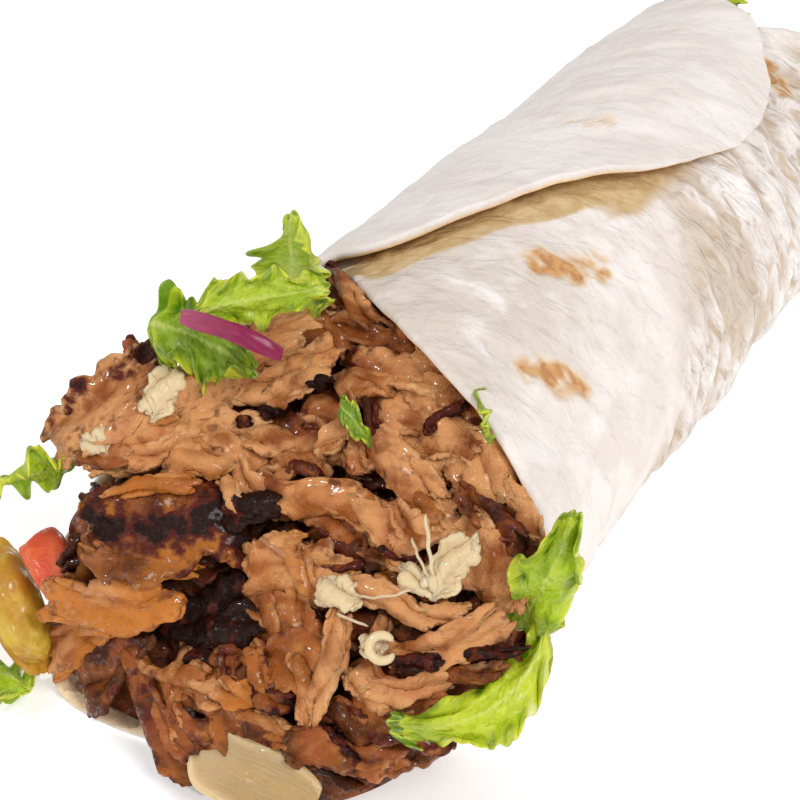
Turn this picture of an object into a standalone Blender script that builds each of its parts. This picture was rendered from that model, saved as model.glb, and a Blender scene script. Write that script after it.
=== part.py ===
"""Doner kebab wrap: a thin flatbread rolled round shaved meat and salad.

World frame, metres: +Z up, the roll lies along Y, its mouth faces -Y and it
rests on z = 0.  The bread winds clockwise seen from the mouth and ends in a
pointed flap on the upper right.  Angles round the roll are in degrees,
0 = right side (+X), 90 = top, 180 = left, -90 = bottom.
"""
import bpy
import bmesh
import math
import random
import numpy as np
from mathutils import Euler, Vector

# ---- driving dimensions ---------------------------------------------------
CM = 0.01
MM = 0.001
ROLL_RADIUS = 0.039          # outer radius of the roll at y = 0
ROLL_TAPER = 0.02            # radius lost per metre of length towards the tail
BREAD = 0.002                # flatbread thickness
TURN_PITCH = 0.003           # radius gained per turn of the winding
SAG = 0.0015                 # how far the underside is pressed flat
INNER_END = 175.0            # angle at which the hidden inner end starts
MEASURED_TURN = 195.0        # turn at which the outer radius is ROLL_RADIUS
LAST_TURN = 483.0            # the flap's tip
FLAP_TURN = 413.0            # the flap's root, where it crosses the seam
FLAP_LIFT = 0.0024           # gape under the flap's lower edge
FLARE = 0.0185               # how far the lower left lip opens outwards
FLARE_TURN = 322.0
FLARE_SPREAD = 95.0
FLARE_START = 0.014          # distance in front of y = 0 where it begins
FLARE_LENGTH = 0.056
RIGHT_FLARE = 0.0045         # the lower right lip opens a little too
RIGHT_TURN = 215.0
RIGHT_SPREAD = 75.0
CLEAR = 0.00045              # room the meat leaves round its neighbours
CORE_GAP = 0.0042            # from the outer radius to the meat core
LEAF = 0.0007                # salad leaf thickness
SEED = 11

# mouth edge and tail edge of the bread: (turn in degrees, y in cm)
NEAR_EDGE = [(0, 3.0), (25, 1.2), (40, 0.2), (53, -0.46), (71, -1.45), (85, -2.05),
             (104, -2.69), (130, -3.0), (163, -3.18), (205, -3.6), (235, -4.5),
             (260, -5.7), (280, -6.8), (300, -7.15), (315, -6.95), (330, -6.3),
             (355, -4.8), (375, -3.3), (395, -1.7), (413, -0.55), (424, -0.42),
             (431, 0.0), (438, 1.04), (446, 2.11), (453, 3.31), (461, 4.43),
             (471, 5.61), (477, 6.89), (480, 7.6), (483, 8.3)]
FAR_EDGE = [(0, 11.0), (25, 12.0), (53, 12.5), (71, 13.0), (90, 13.5), (109, 14.45),
            (130, 15.2), (155, 15.8), (195, 16.3), (235, 16.6), (275, 16.6),
            (325, 16.1), (375, 15.1), (413, 14.25), (431, 13.93), (444, 13.64),
            (456, 13.1), (463, 12.5), (473, 11.35), (477, 10.95), (480, 10.3),
            (483, 9.3)]

# meat slices that show on the mouth's heap, cm and degrees:
# across, up, lift, length, width, yaw, pitch, roll, curl
MOUTH_SLICES = [
    (-4.4, 5.9, 0.1, 2.6, 1.4, 65, -10, 0, 0.2),
    (-4.1, 6.3, -0.2, 1.6, 1.0, 70, 0, 0, 0.2),
    (-2.6, 6.3, 0.25, 5.2, 1.1, 30, 12, 0, 0.1),
    (-2.6, 5.4, 0.1, 3.2, 1.1, 5, 0, 0, 0.2),
    (-0.8, 7.3, -0.1, 2.2, 0.8, -5, 10, 0, 0.2),
    (-1.1, 6.8, 0.1, 2.2, 0.8, 30, 15, 0, 0.3),
    (0.4, 6.7, 0.1, 2.3, 1.0, 10, -15, 5, 0.3),
    (1.3, 6.2, 0.1, 2.1, 1.1, -30, 10, 0, 0.3),
    (2.3, 5.9, 0, 1.7, 1.1, -40, 0, 0, 0.2),
    (3.3, 5.3, -0.1, 1.7, 0.8, -65, 0, 0, 0.2),
    (-0.7, 5.4, 0, 2.9, 1.0, 30, -12, 0, 0.3),
    (-2.3, 4.2, 0.35, 2.9, 1.7, -10, -12, 0, 0.2),
    (-2.8, 3.0, 0.25, 3.3, 1.7, 25, -12, 0, 0.2),
    (-0.2, 3.9, 0.2, 2.2, 1.3, 40, 15, 0, 0.3),
    (0.7, 4.8, 0.1, 2.4, 1.0, -10, -10, 0, 0.3),
    (-1.3, 2.8, -0.4, 1.2, 0.8, 5, 0, 0, 0.2),
    (-2.6, 1.1, -0.1, 3.4, 1.4, -5, 10, 0, 0.2),
    (-3.3, 1.1, -0.25, 2.3, 1.2, 45, 0, 0, 0.2),
    (-1.6, 2.1, 0.15, 1.4, 0.8, 20, 20, 0, 0.3),
    (0.3, 2.8, 0, 2.3, 1.5, 0, -10, 0, 0.3),
    (1.4, 2.9, 0.35, 2.0, 0.6, -90, 0, 0, 0.2),
    (3.1, 3.7, 0.2, 2.3, 0.6, 30, 10, 0, 0.2),
    (2.6, 2.6, 0, 2.0, 1.2, 0, -10, 0, 0.3),
    (2.5, 2.0, -0.1, 2.0, 0.8, 15, 0, 0, 0.2),
    (3.2, 4.7, 0.1, 1.8, 1.0, -60, 12, 0, 0.3),
    (1.9, 5.0, 0.15, 1.7, 0.9, 20, -12, 0, 0.3),
    (-0.3, 1.9, 0.1, 2.0, 1.1, -35, 12, 0, 0.3),
    (-1.1, 4.6, 0.05, 1.9, 0.8, 15, 15, 0, 0.2),
    (1.3, 5.6, 0.2, 2.0, 0.7, -15, 10, 0, 0.3),
    (1.4, 6.6, 0, 2.0, 0.7, -35, 0, 0, 0.2),
    (-1.7, 6.8, 0.1, 1.6, 1.0, 10, 0, 0, 0.3),
    (1.6, 1.8, 0.2, 1.3, 0.7, 10, 15, 0, 0.3),
    (-1.2, 1.0, 0, 2.1, 1.0, -10, 0, 0, 0.2),
    (0.6, 1.4, -0.2, 2.6, 0.9, 15, 0, 0, 0.1),
    (3.9, 3.5, -0.2, 1.6, 0.9, 25, 0, 0, 0.2),
    (-3.4, 5.6, -0.3, 1.6, 1.0, 40, 0, 0, 0.2),
    (-3.2, 4.3, -0.5, 1.4, 1.1, 80, 0, 0, 0.2),
    (-3.2, 3.5, -0.4, 1.6, 1.1, 45, 0, 0, 0.2),
]
# and on the tail's face
TAIL_SLICES = [
    (-1.6, 5.2, 0.0, 2.6, 1.5, 20, 10, 0, 0.3),
    (0.9, 5.4, 0.1, 2.4, 1.3, -30, -10, 0, 0.3),
    (2.2, 3.9, 0.0, 2.4, 1.6, 70, 10, 0, 0.2),
    (-0.3, 3.9, 0.2, 3.0, 1.5, 10, -12, 0, 0.3),
    (-2.4, 3.3, 0.0, 2.2, 1.4, 100, 0, 0, 0.2),
    (0.9, 2.4, 0.1, 2.6, 1.4, -15, 12, 0, 0.3),
    (-1.2, 1.9, 0.0, 2.2, 1.3, 30, -10, 0, 0.2),
]

# salad leaves, cm: spine of three points, side direction, width, ruffle, cup, phase
LEAVES = {
    "lettuce_top": (((-1.8, -2.1, 6.9), (-2.2, -1.9, 7.6), (-2.2, -1.6, 8.8)),
                    (1, -0.3, 0.3), 1.9, 0.16, 0.1, 0.4),
    "lettuce_left": (((-3.7, -4.0, 7.2), (-2.8, -3.9, 7.3), (-1.8, -3.8, 6.8)),
                     (0.3, -0.7, -0.6), 1.4, 0.2, 0.3, 1.2),
    "lettuce_far_left": (((-4.7, -5.3, 4.6), (-5.1, -5.9, 4.7), (-5.8, -7.1, 4.6)),
                         (0.4, -0.4, 0.9), 1.2, 0.16, 0.1, 2.2),
    "lettuce_low_left": (((-4.75, -7.5, 0.55), (-5.3, -7.5, 0.65), (-6.05, -7.6, 0.65)),
                         (0.15, -0.85, 0.3), 1.1, 0.15, 0.1, 3.1),
    "lettuce_right": (((3.6, -4.3, 3.9), (4.3, -4.3, 4.9), (4.4, -3.8, 6.2)),
                      (0.9, 0.1, -0.3), 1.4, 0.2, 0.1, 0.9),
    "lettuce_low_right": (((4.4, -4.3, 3.3), (4.4, -4.7, 1.9), (2.5, -6.0, 1.4)),
                          (0.5, -0.6, -0.5), 1.5, 0.2, 0.2, 2.7),
    "lettuce_rim": (((1.95, -3.3, 7.1), (2.2, -3.3, 7.0), (2.35, -3.4, 6.4)),
                    (0.5, -0.8, 0.2), 0.6, 0.06, 0.05, 0.2),
    "lettuce_bit": (((0.0, -3.7, 6.5), (0.35, -3.85, 6.5), (0.7, -3.9, 6.1)),
                    (0.3, -0.6, -0.6), 0.5, 0.05, 0.05, 1.9),
    "lettuce_tail": (((-1.2, 14.2, 6.1), (-1.0, 14.9, 6.9), (-0.9, 15.2, 7.5)),
                     (1, 0.1, 0.1), 1.9, 0.14, 0.1, 0.7),
}
# strips and petals, same figures and then the thickness in mm
STRIPS = {
    "red_onion_strip": (((-2.6, -4.6, 8.0), (-1.8, -4.3, 8.0), (-0.9, -4.1, 7.3)),
                        (0.1, -0.6, -0.75), 0.42, 0.0, -0.03, 0.0, 1.8),
    "onion_petal": (((-0.7, -7.3, 0.75), (0.4, -7.7, 0.85), (1.8, -7.5, 0.8)),
                    (0.1, -0.8, -0.5), 1.3, 0.03, 0.25, 0.5, 2.4),
}
# rounded pieces: centre, size, turns about X, Y, Z in degrees, squareness, bend
CHUNKS = {
    "tomato_piece": ((-4.75, -6.5, 3.05), (1.2, 0.8, 0.85), (20, 15, -25), 0.45, 0.1),
    "pickled_pepper": ((-5.45, -6.75, 1.75), (2.6, 1.0, 1.4), (10, 35, -30), 0.8, 0.25),
    "onion_shred": ((2.85, -5.1, 4.9), (1.25, 0.5, 0.8), (40, 60, 10), 0.8, 0.2),
    "onion_curl": ((2.4, -6.1, 3.8), (0.7, 0.4, 0.6), (40, 0, 20), 0.8, 0.2),
    "onion_bit": ((-2.9, -4.9, 6.4), (0.9, 0.45, 0.8), (40, 0, 30), 0.8, 0.1),
}


def curve(knots, x):
    """Smooth curve through (position, value) pairs, slopes from the neighbours."""
    px, py = np.array(knots, float).T
    slope = np.gradient(py, px)
    i = np.clip(np.searchsorted(px, x) - 1, 0, len(px) - 2)
    h = px[i + 1] - px[i]
    t = (x - px[i]) / h
    return ((1 + 2 * t) * (1 - t) ** 2 * py[i] + t * (1 - t) ** 2 * h * slope[i]
            + t * t * (3 - 2 * t) * py[i + 1] + t * t * (t - 1) * h * slope[i + 1])


def ease(x):
    """0 below 0, 1 above 1, an S between."""
    x = np.clip(x, 0.0, 1.0)
    return x * x * (3.0 - 2.0 * x)


def roll_radius(y):
    return ROLL_RADIUS - ROLL_TAPER * y


def flare(turn, y):
    """Outward opening of the two lips in front of the roll."""
    left = np.cos(np.clip((turn - FLARE_TURN) / FLARE_SPREAD, -1, 1) * math.pi / 2) ** 2
    right = np.cos(np.clip((turn - RIGHT_TURN) / RIGHT_SPREAD, -1, 1) * math.pi / 2) ** 2
    forward = np.clip((-y - FLARE_START) / FLARE_LENGTH, 0.0, 1.2)
    return FLARE * left * forward ** 1.5 + RIGHT_FLARE * right * ease(-y / 0.035)


def bread_sheet(turn, along):
    """Middle of the bread: turn in degrees, along 0..1 from mouth to tail."""
    near = curve(NEAR_EDGE, turn) * CM
    far = curve(FAR_EDGE, turn) * CM
    y = near + (far - near) * along
    angle = np.radians(INNER_END - turn)
    radius = roll_radius(y) - BREAD / 2 + TURN_PITCH * (turn - MEASURED_TURN) / 360.0
    flap = np.clip((turn - FLAP_TURN) / (LAST_TURN - FLAP_TURN), 0.0, 1.0)
    gape = np.sin(math.pi * np.clip((y - 0.004) / 0.075, 0.0, 1.0)) * flap ** 1.5
    radius = radius + FLAP_LIFT * gape * (1 - ease((y - near) / 0.022))
    radius = radius + 0.0006 * np.sin(y * 95 + angle * 2) * np.sin(angle * 3 + 1) * ease(y / 0.05)
    radius = radius + flare(turn, y)
    z = roll_radius(y) - SAG + radius * np.sin(angle)
    return np.stack([radius * np.cos(angle), y, np.maximum(z, BREAD / 2)], -1)


def turn_of(angle):
    """Turn of the outermost bread at an angle round the roll (-180..180)."""
    return np.where(angle < 122.0, INNER_END - angle, 360.0 + INNER_END - angle)


# ---- scene helpers --------------------------------------------------------
def clean_scene():
    for old in list(bpy.data.objects):
        bpy.data.objects.remove(old, do_unlink=True)


def collection(name, cutters=False):
    made = bpy.data.collections.new(name)
    bpy.context.scene.collection.children.link(made)
    made.hide_render = cutters
    return made


def material(name, colour, rough):
    made = bpy.data.materials.new(name)
    made.use_nodes = True
    shader = made.node_tree.nodes["Principled BSDF"]
    shader.inputs["Base Color"].default_value = (*colour, 1.0)
    shader.inputs["Roughness"].default_value = rough
    return made


def add_mesh(name, points, faces, where, look=None, smooth=True):
    mesh = bpy.data.meshes.new(name)
    mesh.from_pydata([tuple(p) for p in points], [], faces)
    mesh.update()
    if smooth:
        mesh.polygons.foreach_set("use_smooth", [True] * len(mesh.polygons))
    made = bpy.data.objects.new(name, mesh)
    where.objects.link(made)
    if look:
        mesh.materials.append(look)
    return made


def triangles(obj):
    """Split every face of the object's mesh into triangles."""
    edit = bmesh.new()
    edit.from_mesh(obj.data)
    bmesh.ops.triangulate(edit, faces=edit.faces[:])
    edit.to_mesh(obj.data)
    edit.free()


def face_grid(rows, columns):
    """Quads of a rows x columns sheet of points."""
    return [(i * columns + j, (i + 1) * columns + j,
             (i + 1) * columns + j + 1, i * columns + j + 1)
            for i in range(rows - 1) for j in range(columns - 1)]


def solidify(obj, thickness, offset=0.0):
    shell = obj.modifiers.new("thickness", "SOLIDIFY")
    shell.thickness = thickness
    shell.offset = offset


def apply_modifiers(obj):
    graph = bpy.context.evaluated_depsgraph_get()
    done = bpy.data.meshes.new_from_object(obj.evaluated_get(graph))
    obj.modifiers.clear()
    old = obj.data
    obj.data = done
    bpy.data.meshes.remove(old)


# ---- bread ----------------------------------------------------------------
def bread_grid(rows):
    steps = np.concatenate([np.arange(0.0, FLAP_TURN, 8.0),
                            FLAP_TURN + (LAST_TURN - FLAP_TURN)
                            * np.sin(np.linspace(0, math.pi / 2, 13))])
    across, along = np.meshgrid(steps, np.linspace(0.0, 1.0, rows), indexing="ij")
    return bread_sheet(across, along), len(steps)


def build_bread(name, where, look, rows=12):
    sheet, count = bread_grid(rows)
    bread = add_mesh(name, sheet.reshape(-1, 3), face_grid(count, rows), where, look)
    triangles(bread)
    solidify(bread, BREAD)


# ---- heap at the mouth ----------------------------------------------------
def heap_front(x, z):
    """y of the heap's face at (x, z), all in cm; it leans out over the left lip."""
    plane = -4.6 + 0.88 * (z - 3.7)
    dome = 0.9 * np.clip(1 - (x / 4.3) ** 2 - ((z - 3.7) / 3.8) ** 2, 0, 1) ** 0.7
    left = 2.3 * ease((-x - 0.8) / 3.6) * ease((z - 1.6) / 2.4)
    return np.maximum(plane - dome - left, -7.6)


def tail_front(x, z):
    """y of the filling's face at the tail, cm."""
    dome = 0.5 * np.clip(1 - (x / 3.4) ** 2 - ((z - 3.6) / 3.4) ** 2, 0, 1) ** 0.7
    return 15.0 - 0.44 * (z - 3.6) + dome


def face_frame(front, facing, x, z, yaw, pitch, roll):
    """Point on a face of the filling and three axes of a slice lying on it, cm."""
    step = -0.05 * facing
    here = Vector((x, float(front(x, z)), z))
    right = Vector((2 * step, float(front(x + step, z) - front(x - step, z)), 0))
    step = 0.05
    up = Vector((0, float(front(x, z + step) - front(x, z - step)), 2 * step))
    normal = right.cross(up).normalized()
    right = (right - normal * right.dot(normal)).normalized()
    up = normal.cross(right)
    turn = math.radians(yaw)
    long = right * math.cos(turn) + up * math.sin(turn)
    wide = normal.cross(long)
    tilt = math.radians(pitch)
    wide, normal = (wide * math.cos(tilt) + normal * math.sin(tilt),
                    normal * math.cos(tilt) - wide * math.sin(tilt))
    tip = math.radians(roll)
    long, normal = (long * math.cos(tip) + normal * math.sin(tip),
                    normal * math.cos(tip) - long * math.sin(tip))
    return here, long, wide, normal


def slab_points(length, width, thick, curl, draw, rows=6, columns=4):
    """Closed slice of meat about the origin: (points, faces), ragged outline."""
    phase = draw.uniform(0, 6.28)
    top, bottom = [], []
    for i in range(rows):
        a = -1 + 2 * i / (rows - 1)
        edge = 0.62 + 0.38 * math.sqrt(max(0.0, 1 - a ** 4))
        edge *= draw.uniform(0.82, 1.1)
        for j in range(columns):
            b = -1 + 2 * j / (columns - 1)
            x = length / 2 * a * (1 + 0.1 * math.sin(3 * b + phase))
            y = width / 2 * b * edge + 0.06 * length * math.sin(2.2 * a + phase)
            bend = -curl * length * a * a / 4 + 0.05 * math.sin(4 * b + 3 * a + phase)
            rim = max(abs(a), abs(b))
            half = thick / 2 * (1 - 0.55 * rim ** 3)
            top.append((x, y, bend + half))
            bottom.append((x, y, bend - half))
    count = rows * columns
    faces = face_grid(rows, columns)
    faces += [tuple(k + count for k in reversed(f)) for f in faces]
    ring = ([j for j in range(columns)]
            + [(i + 1) * columns - 1 for i in range(1, rows)]
            + [(rows - 1) * columns + j for j in range(columns - 2, -1, -1)]
            + [i * columns for i in range(rows - 2, 0, -1)])
    faces += [(k, n, n + count, k + count) for k, n in zip(ring, ring[1:] + ring[:1])]
    return top + bottom, faces


def placed(points, here, long, wide, normal):
    """Points carried to their place, raised where they would reach the ground."""
    moved = [(here + long * p[0] + wide * p[1] + normal * p[2]) * CM for p in points]
    short = max(0.0, BREAD + 2 * CLEAR - min(p.z for p in moved))
    return [p + Vector((0, 0, short)) for p in moved]


def build_slice(spec, number, front, facing, where, look):
    x, z, lift, length, width, yaw, pitch, roll, curl = spec
    draw = random.Random(SEED * 100 + number)
    here, long, wide, normal = face_frame(front, facing, x, z, yaw, pitch, roll)
    points, faces = slab_points(length, width, draw.uniform(0.3, 0.4), curl, draw)
    made = add_mesh("slice%02d" % number, placed(points, here + normal * lift, long,
                                                 wide, normal), faces, where, look)
    triangles(made)
    return made


def core_rings(count):
    """Rings of the meat core from the tail's face to the mouth's, and both tips."""
    angle = np.linspace(-180.0, 180.0, count, endpoint=False)
    turn = turn_of(angle)
    near, far = curve(NEAR_EDGE, turn) * CM, curve(FAR_EDGE, turn) * CM
    spin = np.radians(angle)
    tube = []
    for share in (0.03, 0.3, 0.55, 0.78, 0.91, 0.985):
        y = far + (near - far) * share
        r = roll_radius(y) - CORE_GAP + flare(turn, y) * 0.92
        z = roll_radius(y) - SAG + r * np.sin(spin)
        tube.append(np.stack([r * np.cos(spin), y, np.maximum(z, BREAD + CLEAR)], -1))

    def cap(rim, front, middle, inset, shrinks):
        rings = []
        for shrink in shrinks:
            x = rim[:, 0] * shrink + middle[0] * (1 - shrink)
            z = rim[:, 2] * shrink + middle[1] * (1 - shrink)
            face = (front(x / CM, z / CM) + inset) * CM
            blend = ease((1 - shrink) / 0.3)
            rings.append(np.stack([x, rim[:, 1] * (1 - blend) + face * blend, z], -1))
        tip = (float(front(middle[0] / CM, middle[1] / CM)) + inset) * CM
        return rings, np.array([middle[0], tip, middle[1]])

    mouth, mouth_tip = cap(tube[-1], heap_front, (-0.006, 0.037), 0.25, (0.86, 0.66, 0.42, 0.2))
    back, back_tip = cap(tube[0], tail_front, (0.0, 0.035), -0.2, (0.85, 0.6, 0.3))
    return back_tip, back[::-1] + tube + mouth, mouth_tip


def build_core(where, look, count=26):
    start, rings, tip = core_rings(count)
    points = [start] + [p for ring in rings for p in ring] + [tip]
    faces = [(0, 1 + j, 1 + (j + 1) % count) for j in range(count)]
    for k in range(len(rings) - 1):
        a, b = 1 + k * count, 1 + (k + 1) * count
        faces += [(a + j, b + j, b + (j + 1) % count, a + (j + 1) % count)
                  for j in range(count)]
    last, end = 1 + (len(rings) - 1) * count, len(points) - 1
    faces += [(last + j, end, last + (j + 1) % count) for j in range(count)]
    core = add_mesh("meat", points, faces, where, look)
    triangles(core)
    return core


# ---- salad ----------------------------------------------------------------
def leaf_sheet(spine, side, width, ruffle, cup, phase, rows, columns):
    """Ruffled strip of leaf along a three point spine, cm."""
    start, middle, end = (Vector(p) for p in spine)
    side = Vector(side).normalized()
    points = []
    for i in range(rows):
        s = i / (rows - 1)
        at = start * (1 - s) ** 2 + middle * 2 * s * (1 - s) + end * s * s
        along = ((middle - start) * (1 - s) + (end - middle) * s).normalized()
        normal = along.cross(side).normalized()
        broad = width * (0.55 + 0.45 * math.sin(math.pi * min(1.0, s + 0.15)))
        broad *= 1 + 0.16 * math.sin(11 * s + phase)
        for j in range(columns):
            t = -1 + 2 * j / (columns - 1)
            lift = ruffle * abs(t) ** 1.3 * math.sin(9 * s + phase + 1.4 * t) - cup * t * t
            points.append((at + side * (t * broad / 2) + normal * lift) * CM)
    return points


def build_leaf(name, spec, thickness, where, look, rows=9, columns=6):
    points = leaf_sheet(*spec, rows, columns)
    leaf = add_mesh(name, points, face_grid(rows, columns), where, look)
    triangles(leaf)
    solidify(leaf, thickness)


def build_chunk(name, spec, where, look, around=12, rings=7):
    """Rounded piece: a squared-off ball, bent along its length, cm and degrees."""
    centre, size, turns, square, bend = spec
    turned = Euler([math.radians(t) for t in turns]).to_matrix()

    def point(lat, lon):
        def soft(v):
            return math.copysign(abs(v) ** square, v)
        p = Vector((size[0] / 2 * soft(math.sin(lat)),
                    size[1] / 2 * soft(math.cos(lat)) * soft(math.cos(lon)),
                    size[2] / 2 * soft(math.cos(lat)) * soft(math.sin(lon))))
        p.z += bend * (0.4 - (p.x / size[0] * 2) ** 2)
        return (turned @ p + Vector(centre)) * CM

    points = [point(-math.pi / 2, 0.0)]
    for k in range(1, rings):
        lat = -math.pi / 2 + math.pi * k / rings
        points += [point(lat, 2 * math.pi * j / around + 0.26) for j in range(around)]
    points.append(point(math.pi / 2, 0.0))
    faces = [(0, 1 + (j + 1) % around, 1 + j) for j in range(around)]
    for k in range(rings - 2):
        a, b = 1 + k * around, 1 + (k + 1) * around
        faces += [(a + j, a + (j + 1) % around, b + (j + 1) % around, b + j)
                  for j in range(around)]
    last = 1 + (rings - 2) * around
    faces += [(last + j, last + (j + 1) % around, len(points) - 1) for j in range(around)]
    chunk = add_mesh(name, points, faces, where, look)
    triangles(chunk)
    return chunk


# ---- fusing ---------------------------------------------------------------
def combine(obj, others, operation):
    """One Boolean of the object with a whole collection, applied."""
    step = obj.modifiers.new("fused", "BOOLEAN")
    step.operation = operation
    step.operand_type = "COLLECTION"
    step.collection = others
    step.solver = "MANIFOLD"
    apply_modifiers(obj)


def keep_largest(obj, weld=2e-6):
    """Weld slivers and drop loose scraps, leaving the biggest closed piece."""
    edit = bmesh.new()
    edit.from_mesh(obj.data)
    bmesh.ops.remove_doubles(edit, verts=edit.verts[:], dist=weld)
    unseen, groups = set(edit.verts), []
    while unseen:
        group, front = set(), [unseen.pop()]
        while front:
            v = front.pop()
            group.add(v)
            for e in v.link_edges:
                other = e.other_vert(v)
                if other in unseen:
                    unseen.remove(other)
                    front.append(other)
        groups.append(group)
    biggest = max(groups, key=len)
    loose = [v for group in groups if group is not biggest for v in group]
    bmesh.ops.delete(edit, geom=loose, context="VERTS")
    bmesh.ops.triangulate(edit, faces=edit.faces[:])
    bmesh.ops.recalc_face_normals(edit, faces=edit.faces[:])
    edit.to_mesh(obj.data)
    edit.free()


def discard(group):
    for old in list(group.objects):
        bpy.data.objects.remove(old, do_unlink=True)
    bpy.data.collections.remove(group)


def outward(obj):
    edit = bmesh.new()
    edit.from_mesh(obj.data)
    bmesh.ops.recalc_face_normals(edit, faces=edit.faces[:])
    edit.to_mesh(obj.data)
    edit.free()


def build_room(obj, where):
    """Copy of a finished piece, every point pushed out along its normal."""
    graph = bpy.context.evaluated_depsgraph_get()
    room = bpy.data.objects.new(obj.name + "_room",
                                bpy.data.meshes.new_from_object(obj.evaluated_get(graph)))
    where.objects.link(room)
    outward(room)
    moved = [v.co + v.normal * CLEAR for v in room.data.vertices]
    for vertex, place in zip(room.data.vertices, moved):
        vertex.co = place
    room.data.update()


def build_meat(neighbours, where, look):
    meat = build_core(where, look)
    outward(meat)
    slices = collection("slices", cutters=True)
    for number, spec in enumerate(MOUTH_SLICES):
        outward(build_slice(spec, number, heap_front, -1, slices, look))
    for number, spec in enumerate(TAIL_SLICES):
        outward(build_slice(spec, 50 + number, tail_front, 1, slices, look))
    combine(meat, slices, "UNION")
    discard(slices)
    around = collection("neighbours", cutters=True)
    for obj in neighbours:
        build_room(obj, around)
    combine(meat, around, "DIFFERENCE")
    discard(around)
    keep_largest(meat)


def main():
    clean_scene()
    wrap = collection("doner_kebab_wrap")
    crust = material("flatbread", (0.86, 0.80, 0.74), 0.6)
    roast = material("roast_meat", (0.36, 0.17, 0.08), 0.45)
    green = material("lettuce", (0.42, 0.62, 0.10), 0.4)
    looks = {"red_onion_strip": material("red_onion", (0.45, 0.08, 0.28), 0.3),
             "tomato_piece": material("tomato", (0.70, 0.07, 0.03), 0.25),
             "pickled_pepper": material("pickled_pepper", (0.60, 0.42, 0.05), 0.25),
             "onion_petal": material("onion", (0.70, 0.60, 0.38), 0.3)}
    build_bread("tortilla", wrap, crust)
    for name, spec in LEAVES.items():
        build_leaf(name, spec, LEAF, wrap, green)
    for name, spec in STRIPS.items():
        build_leaf(name, spec[:-1], spec[-1] * MM, wrap, looks[name])
    for name, spec in CHUNKS.items():
        outward(build_chunk(name, spec, wrap, looks.get(name, looks["onion_petal"])))
    build_meat(list(wrap.objects), wrap, roast)


main()
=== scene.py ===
# %% [markdown]
# # A doner kebab wrap
# A thin flatbread is rolled round carved roast meat and salad.  The roll lies on
# its side, its slanted mouth overflows with meat, and the far end is open too.
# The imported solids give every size; this lesson dresses them with numpy surfaces
# and procedural materials.

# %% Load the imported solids
import math
import bpy
import numpy as np
from mathutils import Euler, Matrix, Vector


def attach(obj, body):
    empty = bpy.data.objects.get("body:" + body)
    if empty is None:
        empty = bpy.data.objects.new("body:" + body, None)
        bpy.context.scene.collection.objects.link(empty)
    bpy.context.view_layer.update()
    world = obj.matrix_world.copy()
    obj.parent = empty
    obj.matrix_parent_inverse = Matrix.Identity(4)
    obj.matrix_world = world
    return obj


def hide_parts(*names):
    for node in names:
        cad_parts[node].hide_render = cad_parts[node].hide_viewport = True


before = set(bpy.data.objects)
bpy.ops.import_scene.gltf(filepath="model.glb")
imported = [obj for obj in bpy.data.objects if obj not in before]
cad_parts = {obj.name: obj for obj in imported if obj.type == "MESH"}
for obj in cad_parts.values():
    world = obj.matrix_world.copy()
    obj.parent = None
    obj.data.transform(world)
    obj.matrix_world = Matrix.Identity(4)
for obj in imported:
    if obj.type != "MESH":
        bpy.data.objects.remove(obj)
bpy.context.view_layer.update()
print("nodes:", len(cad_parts))

# %% [markdown]
# ## Camera
# The camera looks down at the mouth from the front right.  Its place follows
# from an azimuth, an elevation, a distance and the point it aims at, so the
# numbers stay readable.  It comes first because nothing else depends on it.

# %% Camera from two angles and a distance
CM = 0.01
AZIMUTH, ELEVATION, DISTANCE = math.radians(30.7), math.radians(36.0), 39.0 * CM
AIM = Vector((-1.161, 0.381, 3.714)) * CM
SENSOR, LENS = 36.0, 87.4

back = Vector((math.sin(AZIMUTH) * math.cos(ELEVATION),
               -math.cos(AZIMUTH) * math.cos(ELEVATION), math.sin(ELEVATION)))
right = Vector((math.cos(AZIMUTH), math.sin(AZIMUTH), 0.0))
above = back.cross(right)
lens = bpy.data.cameras.new("camera")
lens.sensor_width, lens.lens, lens.clip_start = SENSOR, LENS, 0.01
camera = bpy.data.objects.new("camera", lens)
bpy.context.scene.collection.objects.link(camera)
camera.matrix_world = Matrix.Translation(AIM + back * DISTANCE) @ Matrix(
    (right, above, back)).transposed().to_4x4()
bpy.context.scene.camera = camera
print("camera at", [round(v, 3) for v in camera.location])

# %% [markdown]
# ## Helpers for curves and noise
# Food has no straight lines.  A smooth curve through a few hand-set pairs gives
# every outline, and value noise gives every irregular surface.  Both work on
# whole arrays, so a surface of forty thousand points takes milliseconds.

# %% Curves, an S-shaped step and value noise
def curve(knots, x):
    """Smooth curve through (position, value) pairs: between two pairs the value
    follows a cubic whose slopes come from the neighbouring pairs."""
    px, py = np.array(knots, float).T
    slope = np.gradient(py, px)
    i = np.clip(np.searchsorted(px, x) - 1, 0, len(px) - 2)
    h = px[i + 1] - px[i]
    t = (x - px[i]) / h
    return ((1 + 2 * t) * (1 - t) ** 2 * py[i] + t * (1 - t) ** 2 * h * slope[i]
            + t * t * (3 - 2 * t) * py[i + 1] + t * t * (t - 1) * h * slope[i + 1])


def ease(x):
    """0 below 0, 1 above 1, and 3x^2 - 2x^3 between."""
    x = np.clip(x, 0.0, 1.0)
    return x * x * (3.0 - 2.0 * x)


def noise(u, v, seed):
    """Value noise, -1 to 1: a random height at each whole-number point of the
    plane, blended between the four nearest by the S-shaped step."""
    table = np.random.default_rng(seed).uniform(-1, 1, (64, 64))
    iu, iv = np.floor(u).astype(int), np.floor(v).astype(int)
    fu, fv = ease(u - iu), ease(v - iv)
    a, b = table[iu % 64, iv % 64], table[(iu + 1) % 64, iv % 64]
    c, d = table[iu % 64, (iv + 1) % 64], table[(iu + 1) % 64, (iv + 1) % 64]
    return (a * (1 - fu) + b * fu) * (1 - fv) + (c * (1 - fu) + d * fu) * fv


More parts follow.
